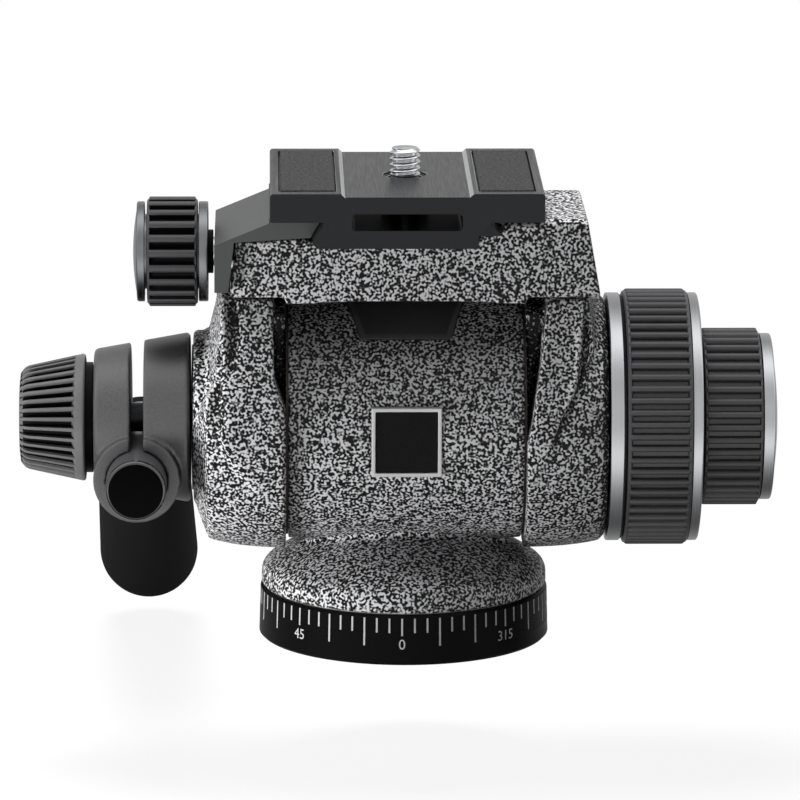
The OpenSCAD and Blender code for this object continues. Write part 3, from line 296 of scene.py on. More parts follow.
# Moulded glass-filled nylon: black, satin to matt
PLASTIC = Finish("moulded black nylon", "black_plastic", "#5c5c5d", 0.40, 0.35, 0.12, relief_mm=0.008)
# The same nylon in the bottom of the flutes, drawn black and without shine: painted shade
FLUTE_SHADE = Finish("shaded black nylon", "black_plastic", "#171718", 0.9, 0.35, 0.2, specular=0.05)
# Moulded ABS, polished mould: deep black with only faint reflections
GLOSS_PLASTIC = Finish("gloss black ABS", "gloss_black", "#040405", 0.12, 2.0, 0.1, spread=0.03,
                       specular=0.02)
# The plug's edge: the same black, drawn far more reflective than its face as a painted highlight
PLUG_EDGE_HIGHLIGHT = Finish("black ABS, painted edge highlight", "gloss_black", "#060607", 0.1, 2.0, 0.1, spread=0.03, specular=0.9)
# Leather-grained plate: black, low pebbles about 0.6 mm across
BADGE_BLACK = Finish("grained black plate", "badge_black", "#0c0c0d", 0.40, 0.5, 0.4, relief_mm=0.12,
                     specular=0.07)
# Acetal: off-white and waxy
ACETAL = Finish("white acetal", "white_acetal", "#dcd8cb", 0.40, 1.0, 0.03)
# Brake lining: brown-grey and matt
LINING = Finish("friction lining", "friction_lining", "#3a332f", 0.80, 0.4, 0.25, relief_mm=0.02)
# Screen-printed ink of the degree scale: plain white
INK = Finish("white printing ink", "white_acetal", "#d2d2d0", 0.55, 0.3, 0.04)

FINISH_OF = {finish.slot: finish for finish in (
    SPECKLE, BLACK_ANODISED, GREY_ANODISED, JAW_ANODISED, SATIN_SILVER, BRIGHT_STEEL, DARK_STEEL, BRONZE, RUBBER,
    POWDER, PLASTIC, GLOSS_PLASTIC, BADGE_BLACK, ACETAL, LINING,
)}


def piece_from(name: str, shape: bmesh.types.BMesh, sharp_deg: float = 35) -> bpy.types.Object:
    """Turns a shape into an object at the origin.

    Args:
        name: The piece's name.
        shape: Its shape, which is freed.
        sharp_deg: Edges sharper than this stay sharp.

    Returns:
        The object.
    """
    mesh = bpy.data.meshes.new(name)
    shape.to_mesh(mesh)
    shape.free()
    mesh.shade_smooth()
    mesh.set_sharp_from_angle(angle=math.radians(sharp_deg))
    made = bpy.data.objects.new(name, mesh)
    bpy.context.scene.collection.objects.link(made)
    return made


def bake(piece: bpy.types.Object) -> bpy.types.Object:
    """Turns a piece with its modifiers into a plain mesh.

    Args:
        piece: The piece.

    Returns:
        The same piece, without modifiers.
    """
    graph = bpy.context.evaluated_depsgraph_get()
    mesh = bpy.data.meshes.new_from_object(piece.evaluated_get(graph), depsgraph=graph)
    piece.modifiers.clear()
    old, piece.data = piece.data, mesh
    bpy.data.meshes.remove(old)
    return piece


def merged_copy(node: str) -> bmesh.types.BMesh:
    """Copies a CAD node's shape and joins its loose triangles.

    Args:
        node: The CAD node.

    Returns:
        The copy.
    """
    shape = bmesh.new()
    shape.from_mesh(frame["nodes"][node].data)
    bmesh.ops.remove_doubles(shape, verts=shape.verts, dist=JOIN_MM * MM)
    return shape


def cast(name: str, node: str, voxel_mm: float, passes: int,
         cutter: bmesh.types.BMesh | None = None) -> bpy.types.Object:
    """Makes a casting with soft edges from a CAD node.

    Args:
        name: The casting's name.
        node: The CAD node.
        voxel_mm: The size of its mesh's faces.
        passes: How often it is smoothed.
        cutter: A shape that is cut from it, which is freed.

    Returns:
        The casting, as a plain mesh.
    """
    made = piece_from(name, merged_copy(node))
    if cutter:
        tool = piece_from("cutter", cutter)
        cut = made.modifiers.new("cut", "BOOLEAN")
        cut.object, cut.operation, cut.solver = tool, "DIFFERENCE", "EXACT"
        bake(made)
        bpy.data.objects.remove(tool)
    grid = made.modifiers.new("grid", "REMESH")
    grid.mode, grid.voxel_size, grid.use_smooth_shade = "VOXEL", voxel_mm * MM, True
    soft = made.modifiers.new("soft", "SMOOTH")
    soft.factor, soft.iterations = 0.5, passes
    return bake(made)


def milled(name: str, node: str, edge_mm: float) -> bpy.types.Object:
    """Makes a milled piece with broken edges from a CAD node.

    Args:
        name: The piece's name.
        node: The CAD node.
        edge_mm: The width of its broken edges.

    Returns:
        The piece, as a plain mesh.
    """
    shape = merged_copy(node)
    bmesh.ops.dissolve_limit(shape, angle_limit=math.radians(FLAT_DEG), verts=shape.verts, edges=shape.edges,
                             delimit={"NORMAL"})
    made = piece_from(name, shape)
    edges = made.modifiers.new("edges", "BEVEL")
    edges.width, edges.segments, edges.limit_method = edge_mm * MM, 2, "ANGLE"
    edges.angle_limit, edges.use_clamp_overlap = math.radians(BROKEN_DEG), True
    bake(made).data.set_sharp_from_angle(angle=math.radians(HARD_DEG))
    return made


def dress(piece: bpy.types.Object, finish: Finish, body: str, *nodes: str) -> bpy.types.Object:
    """Gives a piece its material, its body and the CAD nodes that it stands for.

    Args:
        piece: The piece, a plain mesh.
        finish: Its finish.
        body: The body that it rides on.
        nodes: The CAD nodes that it stands for.

    Returns:
        The piece.
    """
    piece.data.materials.clear()
    piece.data.materials.append(finish.material())
    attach(piece, body)
    if nodes:
        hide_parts(*nodes)
    LOG.info("%s: %s on %s, %d faces", piece.name, finish.name, body, len(piece.data.polygons))
    return piece


def paint(node: str, finish: Finish) -> None:
    """Gives a CAD node that stays in view its finish.

    Args:
        node: The CAD node.
        finish: Its finish.
    """
    shown = frame["nodes"][node]
    shown.data.materials.clear()
    shown.data.materials.append(finish.material())
    LOG.info("%s: %s, as packed", node, finish.name)


def refinish(piece: bpy.types.Object, finish: Finish, chosen: Callable[[Vector, Vector], bool]) -> None:
    """Gives some faces of a dressed piece another finish.

    Args:
        piece: The piece.
        finish: The other finish.
        chosen: Says, from a face's middle and its normal, whether it gets that finish.
    """
    piece.data.materials.append(finish.material())
    for face in piece.data.polygons:
        if chosen(face.center, face.normal):
            face.material_index = len(piece.data.materials) - 1


def off_axis(place: Vector, axis_z: float) -> float:
    """How far a place lies from an axis along x at a height."""
    return math.hypot(place.y, place.z - axis_z)


def rounded(corners: Sequence[Corner], steps: int = 4) -> list[tuple[float, float]]:
    """Rounds the corners of a closed outline.

    Args:
        corners: Each corner as x, radius and the length that its rounding takes, in metres.
        steps: Faces in each rounding.

    Returns:
        The outline's points.
    """
    points: list[tuple[float, float]] = []
    for i, (x, r, cut) in enumerate(corners):
        here = Vector((x, r))
        if cut <= 0:
            points.append((x, r))
            continue
        before, after = Vector(corners[i - 1][:2]), Vector(corners[(i + 1) % len(corners)][:2])
        start = here + (before - here).normalized() * cut
        end = here + (after - here).normalized() * cut
        for k in range(steps + 1):
            t = k / steps
            point = start * (1 - t) ** 2 + here * 2 * t * (1 - t) + end * t ** 2
            points.append((point.x, point.y))
    return points


def lathe(outline: Sequence[tuple[float, float]], axis_z: float, segments: int = 160) -> bmesh.types.BMesh:
    """Turns a closed outline about an axis along x.

    Args:
        outline: Points as x and radius; those on the axis become poles.
        axis_z: The axis's height.
        segments: Faces round it.

    Returns:
        The turned shape.
    """
    shape = bmesh.new()
    angles = [2 * math.pi * i / segments for i in range(segments)]
    rings = []
    for x, r in outline:
        turns = angles if r > 1e-7 else angles[:1]
        rings.append([shape.verts.new((x, r * math.sin(a), axis_z + r * math.cos(a))) for a in turns])
    for one, two in zip(rings, rings[1:] + rings[:1]):
        if len(one) == len(two) == 1:
            continue
        for i in range(segments):
            j = (i + 1) % segments
            loop = [one[i % len(one)], one[j % len(one)], two[j % len(two)], two[i % len(two)]]
            shape.faces.new(list(dict.fromkeys(loop)))
    bmesh.ops.recalc_face_normals(shape, faces=shape.faces)
    return shape


def ring_tree() -> bpy.types.NodeTree:
    """Builds the tree that sets copies of a shape round an axis, or finds it.

    Returns:
        The tree. Its inputs are the number of copies, the turn from one to the next, a point of the axis, which
        copies are left out (every nth) and the material.
    """
    found = bpy.data.node_groups.get("ring of copies")
    if found:
        return found
    tree = bpy.data.node_groups.new("ring of copies", "GeometryNodeTree")
    for name, kind in (("Shape", "Geometry"), ("Copies", "Int"), ("Turn", "Vector"), ("Axis", "Vector"),
                       ("Leave Out", "Int"), ("Finish", "Material")):
        tree.interface.new_socket(name, in_out="INPUT", socket_type=f"NodeSocket{kind}")
    tree.interface.new_socket("Ring", in_out="OUTPUT", socket_type="NodeSocketGeometry")
    given = add(tree, "NodeGroupInput").outputs
    points = add(tree, "GeometryNodePoints", {"Count": given["Copies"], "Position": given["Axis"]})
    index = add(tree, "GeometryNodeInputIndex").outputs["Index"]
    turn = add(tree, "ShaderNodeVectorMath", {0: given["Turn"], "Scale": index}, operation="SCALE")
    facing = add(tree, "FunctionNodeEulerToRotation", {"Euler": turn.outputs["Vector"]})
    nth = add(tree, "ShaderNodeMath", {0: index, 1: 1.0}, operation="ADD")
    rest = add(tree, "ShaderNodeMath", {0: nth.outputs[0], 1: given["Leave Out"]}, operation="MODULO")
    kept = add(tree, "ShaderNodeMath", {0: rest.outputs[0], 1: 0.5}, operation="GREATER_THAN")
    copies = add(tree, "GeometryNodeInstanceOnPoints", {
        "Points": points.outputs[0], "Selection": kept.outputs[0], "Instance": given["Shape"],
        "Rotation": facing.outputs[0],
    })
    real = add(tree, "GeometryNodeRealizeInstances", {"Geometry": copies.outputs[0]})
    done = add(tree, "GeometryNodeSetMaterial", {"Geometry": real.outputs[0], "Material": given["Finish"]})
    add(tree, "NodeGroupOutput", {"Ring": done.outputs[0]})
    return tree


def ring_of(shape: bmesh.types.BMesh, copies: int, turn: Vector, axis: Vector, finish: Finish,
            leave_out: int = 0) -> bpy.types.Mesh:
    """Sets copies of a shape round an axis.

    Args:
        shape: The shape, drawn about the origin.
        copies: How many there are.
        turn: The angles from one copy to the next.
        axis: A point on the axis.
        finish: Their finish.
        leave_out: Leaves out every nth copy, or none.

    Returns:
        The copies as a plain mesh.
    """
    seed = piece_from("seed", shape)
    ring = seed.modifiers.new("ring", "NODES")
    ring.node_group = ring_tree()
    values = {"Copies": copies, "Turn": turn, "Axis": axis, "Leave Out": leave_out or copies + 1,
              "Finish": finish.material()}
    for socket in ring.node_group.interface.items_tree:
        if socket.in_out == "INPUT" and socket.name in values:
            ring[socket.identifier] = values[socket.name]
    mesh = bake(seed).data
    bpy.data.objects.remove(seed)
    return mesh


def bar(stations: Sequence[tuple[float, float, float]], foot_deg: float, top_share: float) -> bmesh.types.BMesh:
    """Builds one rib that lies along x above the x axis, with rounded shoulders.

    Args:
        stations: Along the rib, its x, the radius of its foot and that of its top.
        foot_deg: The angle that its foot takes.
        top_share: The width of its top as a share of its foot's.

    Returns:
        The rib.
    """
    shape = bmesh.new()
    across = ((-1.0, 0.0), (-0.5 - top_share / 2, 0.7), (-top_share * 0.8, 1.0), (top_share * 0.8, 1.0),
              (0.5 + top_share / 2, 0.7), (1.0, 0.0))
    rows = []
    for x, foot, top in stations:
        row = []
        for side, up in across:
            angle, r = side * math.radians(foot_deg) / 2, foot + (top - foot) * up
            row.append(shape.verts.new((x, r * math.sin(angle), r * math.cos(angle))))
        rows.append(row)
    for one, two in zip(rows, rows[1:]):
        for i in range(len(across) - 1):
            shape.faces.new((one[i], one[i + 1], two[i + 1], two[i]))
    for row in (rows[0], rows[-1]):
        shape.faces.new(row)
    bmesh.ops.recalc_face_normals(shape, faces=shape.faces)
    return shape


@dataclass(frozen=True)
class Span:
    """Where a turned CAD node lies: its ends along x, its radius and its axis's height, in metres."""

    x0: float
    x1: float
    r: float
    z: float

    @classmethod
    def of(cls, node: str) -> "Span":
        """Measures a CAD node."""
        low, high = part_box(node)
        return cls(low.x, high.x, max(high.y - low.y, high.z - low.z) / 2, (low.z + high.z) / 2)


def domed_cap(span: Span, rim_w: float, flat: float, way: int) -> bmesh.types.BMesh:
    """Turns a metal cap: a short rim with a low domed face.

    Args:
        span: Where the cap lies.
        rim_w: The width of its rim.
        flat: The width of the flat border of its face.
        way: 1 where its face looks to +x, and -1 where it looks to -x.

    Returns:
        The cap.
    """
    near, far = (span.x0, span.x1) if way > 0 else (span.x1, span.x0)
    face, dome_r = near + way * rim_w, span.r - flat
    foot_edge, face_edge, dome_edge, steps = 0.15 * MM, 0.45 * MM, 0.3 * MM, 10
    outline = rounded([(near, 0, 0), (near, span.r, foot_edge), (face, span.r, face_edge), (face, dome_r, dome_edge)])
    for i in range(1, steps + 1):
        r = dome_r * (1 - i / steps)
        outline.append((face + (far - face) * (1 - (r / dome_r) ** 2), r))
    return lathe(outline, span.z)


@dataclass
class PanBase:
    """The graduated base: a black ring with a printed degree scale, and the spindle in it. Millimetres."""

    foot_r: float = 30.0
    top_r: float = 29.7
    height: float = 10.4
    first_mark: float = 0.6
    mark_w: float = 0.36
    zero_deg: float = 1.8
    short_mark: float = 3.0
    long_mark: float = 5.8
    number_mark: float = 3.6
    number_h: float = 2.1
    ink_t: float = 0.025

    def wall_r(self, z: float) -> float:
        """The radius of the base's leaning wall at a height."""
        return self.foot_r + (self.top_r - self.foot_r) * z / self.height

    def mark(self, length: float, angle: float) -> bmesh.types.BMesh:
        """Draws one mark of the scale.

        Args:
            length: Its length.
            angle: The scale's angle that it stands at, in radians.

        Returns:
            A thin plate of ink on the wall.
        """
        shape = bmesh.new()
        top = self.height - self.first_mark
        rows = []
        for lift in (-self.ink_t, self.ink_t):
            for z, side in ((top, -1), (top, 1), (top - length, 1), (top - length, -1)):
                r = self.wall_r(z) + lift
                a = angle + side * self.mark_w / 2 / r
                rows.append(shape.verts.new(Vector((-r * math.sin(a), -r * math.cos(a), z)) * MM))
        for i in range(4):
            j = (i + 1) % 4
            shape.faces.new((rows[i], rows[j], rows[4 + j], rows[4 + i]))
        shape.faces.new(rows[:4])
        shape.faces.new(rows[4:])
        bmesh.ops.recalc_face_normals(shape, faces=shape.faces)
        return shape

    def number(self, degrees: int) -> bpy.types.Mesh:
        """Prints a number below its mark.

        Args:
            degrees: The number.

        Returns:
            Its figures as a mesh, wrapped on the wall.
        """
        letters = bpy.data.curves.new("number", "FONT")
        letters.body, letters.size = str(degrees), self.number_h / 0.7
        letters.align_x, letters.resolution_u = "CENTER", 3
        flat = bpy.data.objects.new("number", letters)
        bpy.context.scene.collection.objects.link(flat)
        mesh = bpy.data.meshes.new_from_object(flat.evaluated_get(bpy.context.evaluated_depsgraph_get()))
        bpy.data.objects.remove(flat)
        foot = self.height - self.first_mark - self.number_mark - self.number_h - 0.7
        for v in mesh.vertices:
            z = foot + v.co.y
            r = self.wall_r(z) + self.ink_t
            a = math.radians(degrees + self.zero_deg) - v.co.x / r
            v.co = Vector((-r * math.sin(a), -r * math.cos(a), z)) * MM
        return mesh

    def build(self) -> None:
        """Prints the scale and dresses the base's pieces."""
        scale = bmesh.new()
        for length, copies, leave_out in ((self.short_mark, 72, 3), (self.long_mark, 24, 3), (self.number_mark, 8, 0)):
            step = 2 * math.pi / copies
            first = self.mark(length, step + math.radians(self.zero_deg))
            scale.from_mesh(ring_of(first, copies, Vector((0, 0, -step)), Vector(), INK, leave_out))
        for degrees in range(0, 360, 45):
            scale.from_mesh(self.number(degrees))
        dress(piece_from("degree_scale", scale), INK, "base")
        paint("base_ring", BLACK_ANODISED)


@dataclass
class PanHousing:
    """The pan housing: a speckled casting with a badge on its front and a lined pocket in its top. Millimetres."""

    voxel: float = 0.6
    passes: int = 3
    badge_edge: float = 0.2

    def build(self) -> None:
        """Makes the casting and the badge, and dresses them."""
        dress(cast("housing_casting", "pan_housing", self.voxel, self.passes), SPECKLE, "pan_body", "pan_housing")
        # Painted reflection: the frame is drawn pale and barely metallic, so it stays bright from every side
        dress(milled("badge_rim", "badge_frame", self.badge_edge), FRAME_PAINTED_REFLECTION, "pan_body", "badge_frame")
        dress(milled("badge_face", "badge_plate", self.badge_edge), BADGE_BLACK, "pan_body", "badge_plate")
        paint("pocket_liner", PLASTIC)


def hollows(piece: bpy.types.Object) -> bpy.types.bpy_prop_collection:
    """The piece's attribute of painted shade, point by point: 1 darkens its enamel, below 0 lightens it."""
    found = piece.data.attributes.get("painted_shade") or piece.data.attributes.new("painted_shade", "FLOAT", "POINT")
    return found.data


@dataclass(frozen=True)
class Hollow:
    """A box of painted shade in a casting's enamel, for its slots and gaps; y counts from the middle to both sides.
    Millimetres.
    """

    low: Corner
    high: Corner

    def darken(self, piece: bpy.types.Object) -> None:
        """Paints shade into the enamel in the box.

        Args:
            piece: The casting.
        """
        painted_shade = hollows(piece)
        for v in piece.data.vertices:
            place = (v.co.x / MM, abs(v.co.y) / MM, v.co.z / MM)
            if all(a < p < b for a, p, b in zip(self.low, place, self.high)):
                painted_shade[v.index].value = 1.0


@dataclass(frozen=True)
class Crease:
    """A soft groove along a line on a casting's front and back, or a ridge where its depth is negative. Millimetres.

    path gives the line's points as seen from the front, x and z; the depth runs from depth to end_depth along it.
    Only faces whose normals have at least the share facing along y are carved. A groove also gets painted shade, and a
    ridge a painted highlight, as strong as the last field says.
    """

    path: tuple[tuple[float, float], ...]
    depth: float
    end_depth: float
    width: float
    facing: float = 0.2
    wear: float = 0.6

    def nearest(self, point: Vector) -> tuple[float, float]:
        """Finds the place on the line that is nearest to a point.

        Args:
            point: The point, x and z.

        Returns:
            The distance to it, and its share of the way along the line.
        """
        best = (math.inf, 0.0)
        for i, (a, b) in enumerate(zip(self.path, self.path[1:])):
            start, way = Vector(a), Vector(b) - Vector(a)
            t = min(1.0, max(0.0, (point - start).dot(way) / way.length_squared))
            best = min(best, ((point - start - way * t).length, (i + t) / (len(self.path) - 1)))
        return best

    def carve(self, piece: bpy.types.Object) -> None:
        """Carves the crease in a casting, and paints shade into a groove or a highlight onto a ridge.

        Args:
            piece: The casting.
        """
        moves = {}
        for v in piece.data.vertices:
            if abs(v.normal.y) > self.facing:
                off, share = self.nearest(Vector((v.co.x, v.co.z)) / MM)
                if off < 3 * self.width:
                    depth = self.depth + (self.end_depth - self.depth) * share
                    moves[v.index] = v.normal * depth * MM, math.exp(-(off / self.width) ** 2)
        # Painted shade in the groove, or a painted highlight on the ridge
        painted_shade = hollows(piece)
        for index, (move, weight) in moves.items():
            piece.data.vertices[index].co -= move * weight
            painted_shade[index].value += weight * (1.0 if self.depth > 0 else -self.wear)


@dataclass(frozen=True)
class ArmSlot:
    """The deep slots between an arm and the block, at the front and the back of a cheek. Millimetres.

    outline is the slot as seen from the front, x and z; floor_y is how far its floor lies from the middle.
    """

    outline: tuple[tuple[float, float], ...]
    floor_y: float = 12.0
    reach_y: float = 40.0

    def cutter(self) -> bmesh.types.BMesh:
        """Builds the two prisms that the slots are cut with.

        Returns:
            The prisms as one shape.
        """
        shape = bmesh.new()
        for side in (-1, 1):
            near, far = ([shape.verts.new(Vector((x, side * y, z)) * MM) for x, z in self.outline]
                         for y in (self.floor_y, self.reach_y))
            shape.faces.new(near)
            shape.faces.new(far)
            for i, start in enumerate(near):
                j = (i + 1) % len(near)
                shape.faces.new((start, near[j], far[j], far[i]))
        bmesh.ops.recalc_face_normals(shape, faces=shape.faces)
        return shape


@dataclass
class Cradle:
    """The tilting cradle: two cheeks and the platform, speckled castings. Millimetres."""

    voxel: float = 0.45
    passes: int = 3
    left_slot: ArmSlot = ArmSlot(((-24.0, 50.5), (-24.0, 74.2), (-39.5, 74.2), (-39.5, 73.5), (-27.1, 73.5),
                                  (-26.9, 58.3), (-26.1, 55.8)))
    right_slot: ArmSlot = ArmSlot(((24.0, 43.0), (24.0, 74.2), (39.5, 74.2), (39.5, 73.5), (28.8, 73.5),
                                   (27.6, 66.0), (27.3, 61.0), (26.5, 56.3), (25.4, 49.5)))
    left_creases: tuple[Crease, ...] = (
        Crease(((-37.9, 73.3), (-37.2, 70.2), (-36.9, 64.5), (-36.7, 60.2)), -0.5, -0.3, 0.7),
        Crease(((-35.4, 73.3), (-35.0, 69.7), (-35.0, 65.0), (-35.9, 61.0)), 1.4, 0.9, 1.0),
        Crease(((-38.5, 62.1), (-38.7, 58.3), (-38.7, 54.5), (-38.1, 49.5)), 1.3, 0.9, 1.3),
        Crease(((-40.6, 66.8), (-40.6, 60.2), (-40.6, 52.5)), -0.3, -0.3, 0.5),
    )
    right_creases: tuple[Crease, ...] = (
        Crease(((36.0, 73.3), (35.6, 70.2), (35.2, 64.8), (34.5, 59.2), (33.5, 55.0), (30.8, 49.5), (29.4, 45.4)),
               -0.4, -0.3, 0.45),
        Crease(((37.3, 73.3), (36.8, 67.7), (36.5, 63.9), (36.0, 59.2), (34.9, 55.3), (32.0, 50.4), (30.1, 45.6)),
               1.8, 1.0, 0.7),
    )
    # Painted shade in the slots beside the block and, on the right, in the gap at the cheek's end
    left_hollows: tuple[Hollow, ...] = (Hollow((-27.4, 0.0, 50.0), (-24.0, 17.0, 73.6)),)
    right_hollows: tuple[Hollow, ...] = (Hollow((24.0, 0.0, 44.0), (28.9, 17.0, 73.6)),
                                         Hollow((40.0, 0.0, 10.0), (42.0, 40.0, 80.0)))

    def build(self) -> None:
        """Makes the castings and dresses them."""
        cheeks = (("left", self.left_slot, self.left_creases, self.left_hollows),
                  ("right", self.right_slot, self.right_creases, self.right_hollows))
        for side, slot, creases, dark in cheeks:
            cheek = cast(f"{side}_casting", f"{side}_cheek", self.voxel, self.passes, slot.cutter())
            for crease in creases:
                crease.carve(cheek)
            for painted_shade in dark:
                painted_shade.darken(cheek)
            dress(cheek, SPECKLE, "cradle", f"{side}_cheek")
        dress(cast("platform_casting", "platform", self.voxel, self.passes), SPECKLE, "cradle", "platform")


@dataclass
class RubberSleeve:
    """A ribbed rubber sleeve: a lip at each end, and rounded ribs between. Millimetres.

    A rib's foot takes foot_share of the pitch, and its top top_share of its foot. Each lip leans in by lean of the
    ribs' height, where the ribs run out: rib_ease below their top, then rib_sink below the lip. Below the given share
    of their height the rubber gets painted shade: it is drawn darker and duller there.
    """

    node: str
    ribs: int
    wall: float
    rib_h: float = 1.1
    lip_w: float = 0.7
    lip_drop: float = 0.35
    edge: float = 0.5
    lean: float = 0.3
    foot_share: float = 0.66
    top_share: float = 0.4
    dull_share: float = 0.0
    bore_play: float = 0.02
    rib_ease: float = 0.06
    rib_sink: float = 0.1
    sharp_deg: float = 50.0

    def build(self) -> None:
        """Makes the sleeve with its ribs and dresses it."""
        span = Span.of(self.node)
        edge, lip, inner = self.edge * MM, self.lip_w * MM, span.r - (self.wall - self.bore_play) * MM
        rim, floor = span.r - self.lip_drop * MM, span.r - self.rib_h * MM
        slope = self.rib_h * MM * self.lean
        shape = lathe(rounded([
            (span.x0, inner, 0), (span.x0, rim, edge), (span.x0 + lip, rim, edge / 3),
            (span.x0 + lip + slope, floor, 0), (span.x1 - lip - slope, floor, 0),
            (span.x1 - lip, rim, edge / 3), (span.x1, rim, edge), (span.x1, inner, 0),
        ]), span.z)
        pitch = 360 / self.ribs
        tops = ((0.55, rim - self.rib_sink * MM), (1.0, span.r - self.rib_ease * MM), (1.5, span.r))
        stations = [(span.x0 + lip * along, floor, top) for along, top in tops]
        stations += [(span.x1 - lip * along, floor, top) for along, top in reversed(tops)]
        rib = bar(stations, pitch * self.foot_share, self.top_share)
        turn = Vector((math.radians(pitch), 0, 0))
        shape.from_mesh(ring_of(rib, self.ribs, turn, Vector((0, 0, span.z)), RUBBER))
        made = piece_from(f"{self.node}_ribbed", shape, self.sharp_deg)
        dress(made, RUBBER, BODY_OF[self.node], self.node)
        # Painted shade: the rubber low between the ribs is drawn darker and duller
        if self.dull_share:
            low = floor + self.rib_h * MM * self.dull_share
            refinish(made, RUBBER_VALLEY_SHADE, lambda place, facing: off_axis(place, span.z) < low)


@dataclass
class SideKnobs:
    """The lock knob and the drag knob on the tilt axis: turned rings, ribbed rubber and a domed cap. Millimetres."""

    bore_r: float = 8.05
    spigot_r: float = 13.0
    spigot_play: float = 0.02
    core_r: float = 22.25
    rim_edge: float = 0.35
    rim_gap: float = 0.1
    rim_chamfer: float = 0.75
    chamfer_edge: float = 0.1
    ring_inner_edge: float = 0.15
    ring_outer_edge: float = 0.5
    grip_wall: float = 4.2
    lock_ribs: int = 66
    drag_ribs: int = 42
    cap_w: float = 2.3
    dome_flat: float = 1.5
    around: int = 192

    def core(self) -> bmesh.types.BMesh:
        """Turns the lock knob's core with its inner rim, whose outer edge is chamfered.

        Returns:
            The core.
        """
        whole, grip, ring = (Span.of(f"lock_knob_{part}") for part in ("core", "grip", "ring"))
        bore, spigot, core = self.bore_r * MM, self.spigot_r * MM, self.core_r * MM
        rim_x, cut, edge = grip.x0 - self.rim_gap * MM, self.rim_chamfer * MM, self.chamfer_edge * MM
        return lathe(rounded([
            (whole.x0, bore, 0), (whole.x0, whole.r, self.rim_edge * MM), (rim_x - cut, whole.r, edge),
            (rim_x, whole.r - cut, edge), (rim_x, core, 0), (ring.x0, core, 0), (ring.x0, spigot, 0),
            (whole.x1, spigot, 0), (whole.x1, bore, 0),
        ]), whole.z, self.around)

    def outer_ring(self) -> bmesh.types.BMesh:
        """Turns the lock knob's outer ring.

        Returns:
            The ring.
        """
        span, hole = Span.of("lock_knob_ring"), (self.spigot_r + self.spigot_play) * MM
        return lathe(rounded([
            (span.x0, hole, 0), (span.x0, span.r, self.ring_inner_edge * MM),
            (span.x1, span.r, self.ring_outer_edge * MM), (span.x1, hole, 0),
        ]), span.z, self.around)

    def build(self) -> None:
        """Makes both knobs and dresses them."""
        dress(piece_from("lock_rim", self.core()), SATIN_SILVER, "lock_knob", "lock_knob_core")
        RubberSleeve("lock_knob_grip", self.lock_ribs, self.grip_wall).build()
        dress(piece_from("lock_outer_ring", self.outer_ring()), SATIN_SILVER, "lock_knob", "lock_knob_ring")
        RubberSleeve("drag_knob_grip", self.drag_ribs, self.grip_wall, lip_w=0.4, lip_drop=0.5).build()
        cap = domed_cap(Span.of("drag_knob_cap"), self.cap_w * MM, self.dome_flat * MM, 1)
        dress(piece_from("drag_dome", cap), SATIN_SILVER, "drag_knob", "drag_knob_cap")
        paint("drag_knob_core", BLACK_ANODISED)


@dataclass
class PlateClamp:
    """The clamp on the platform's left: a sliding jaw, and the knob whose screw draws it in. Millimetres."""

    jaw_edge: float = 0.3
    bore_r: float = 3.02
    stub_r: float = 4.5
    stub_w: float = 1.05
    stub_edge: float = 0.2
    rim_w: float = 1.95
    rim_outer_edge: float = 0.35
    rim_inner_edge: float = 0.25
    core_r: float = 7.7
    ribs: int = 22
    grip_wall: float = 3.6
    cap_w: float = 1.6
    dome_flat: float = 1.4

    def core(self) -> bmesh.types.BMesh:
        """Turns the knob's core with its inner rim.

        Returns:
            The core.
        """
        span, r = Span.of("clamp_knob_core"), Span.of("clamp_knob_cap").r
        rim_x = span.x1 - self.stub_w * MM
        rim_end = rim_x - self.rim_w * MM
        return lathe(rounded([
            (rim_x, self.bore_r * MM, 0), (rim_x, r, self.rim_outer_edge * MM), (rim_end, r, self.rim_inner_edge * MM),
            (rim_end, self.core_r * MM, 0), (span.x0, self.core_r * MM, 0), (span.x0, self.bore_r * MM, 0),
        ]), span.z)

    def collar(self) -> bmesh.types.BMesh:
        """Turns the dark collar between the knob and the jaw.

        Returns:
            The collar.
        """
        span = Span.of("clamp_knob_core")
        near, r, bore = span.x1 - self.stub_w * MM, self.stub_r * MM, self.bore_r * MM
        return lathe(rounded([
            (span.x1, bore, 0), (span.x1, r, self.stub_edge * MM), (near, r, 0), (near, bore, 0),
        ]), span.z, 96)

    def build(self) -> None:
        """Makes the jaw and the knob and dresses them."""
        dress(milled("jaw_block", "clamp_jaw", self.jaw_edge), JAW_ANODISED, "jaw", "clamp_jaw")
        dress(piece_from("clamp_rim", self.core()), CLAMP_SILVER, "clamp_knob", "clamp_knob_core")
        dress(piece_from("clamp_collar", self.collar()), BLACK_ANODISED, "clamp_knob", "clamp_knob_core")
        RubberSleeve("clamp_knob_grip", self.ribs, self.grip_wall, lip_w=0.5, lip_drop=0.5, foot_share=0.7,
                     dull_share=0.4).build()
        cap = domed_cap(Span.of("clamp_knob_cap"), self.cap_w * MM, self.dome_flat * MM, -1)
        dress(piece_from("clamp_dome", cap), CLAMP_SILVER, "clamp_knob", "clamp_knob_cap")


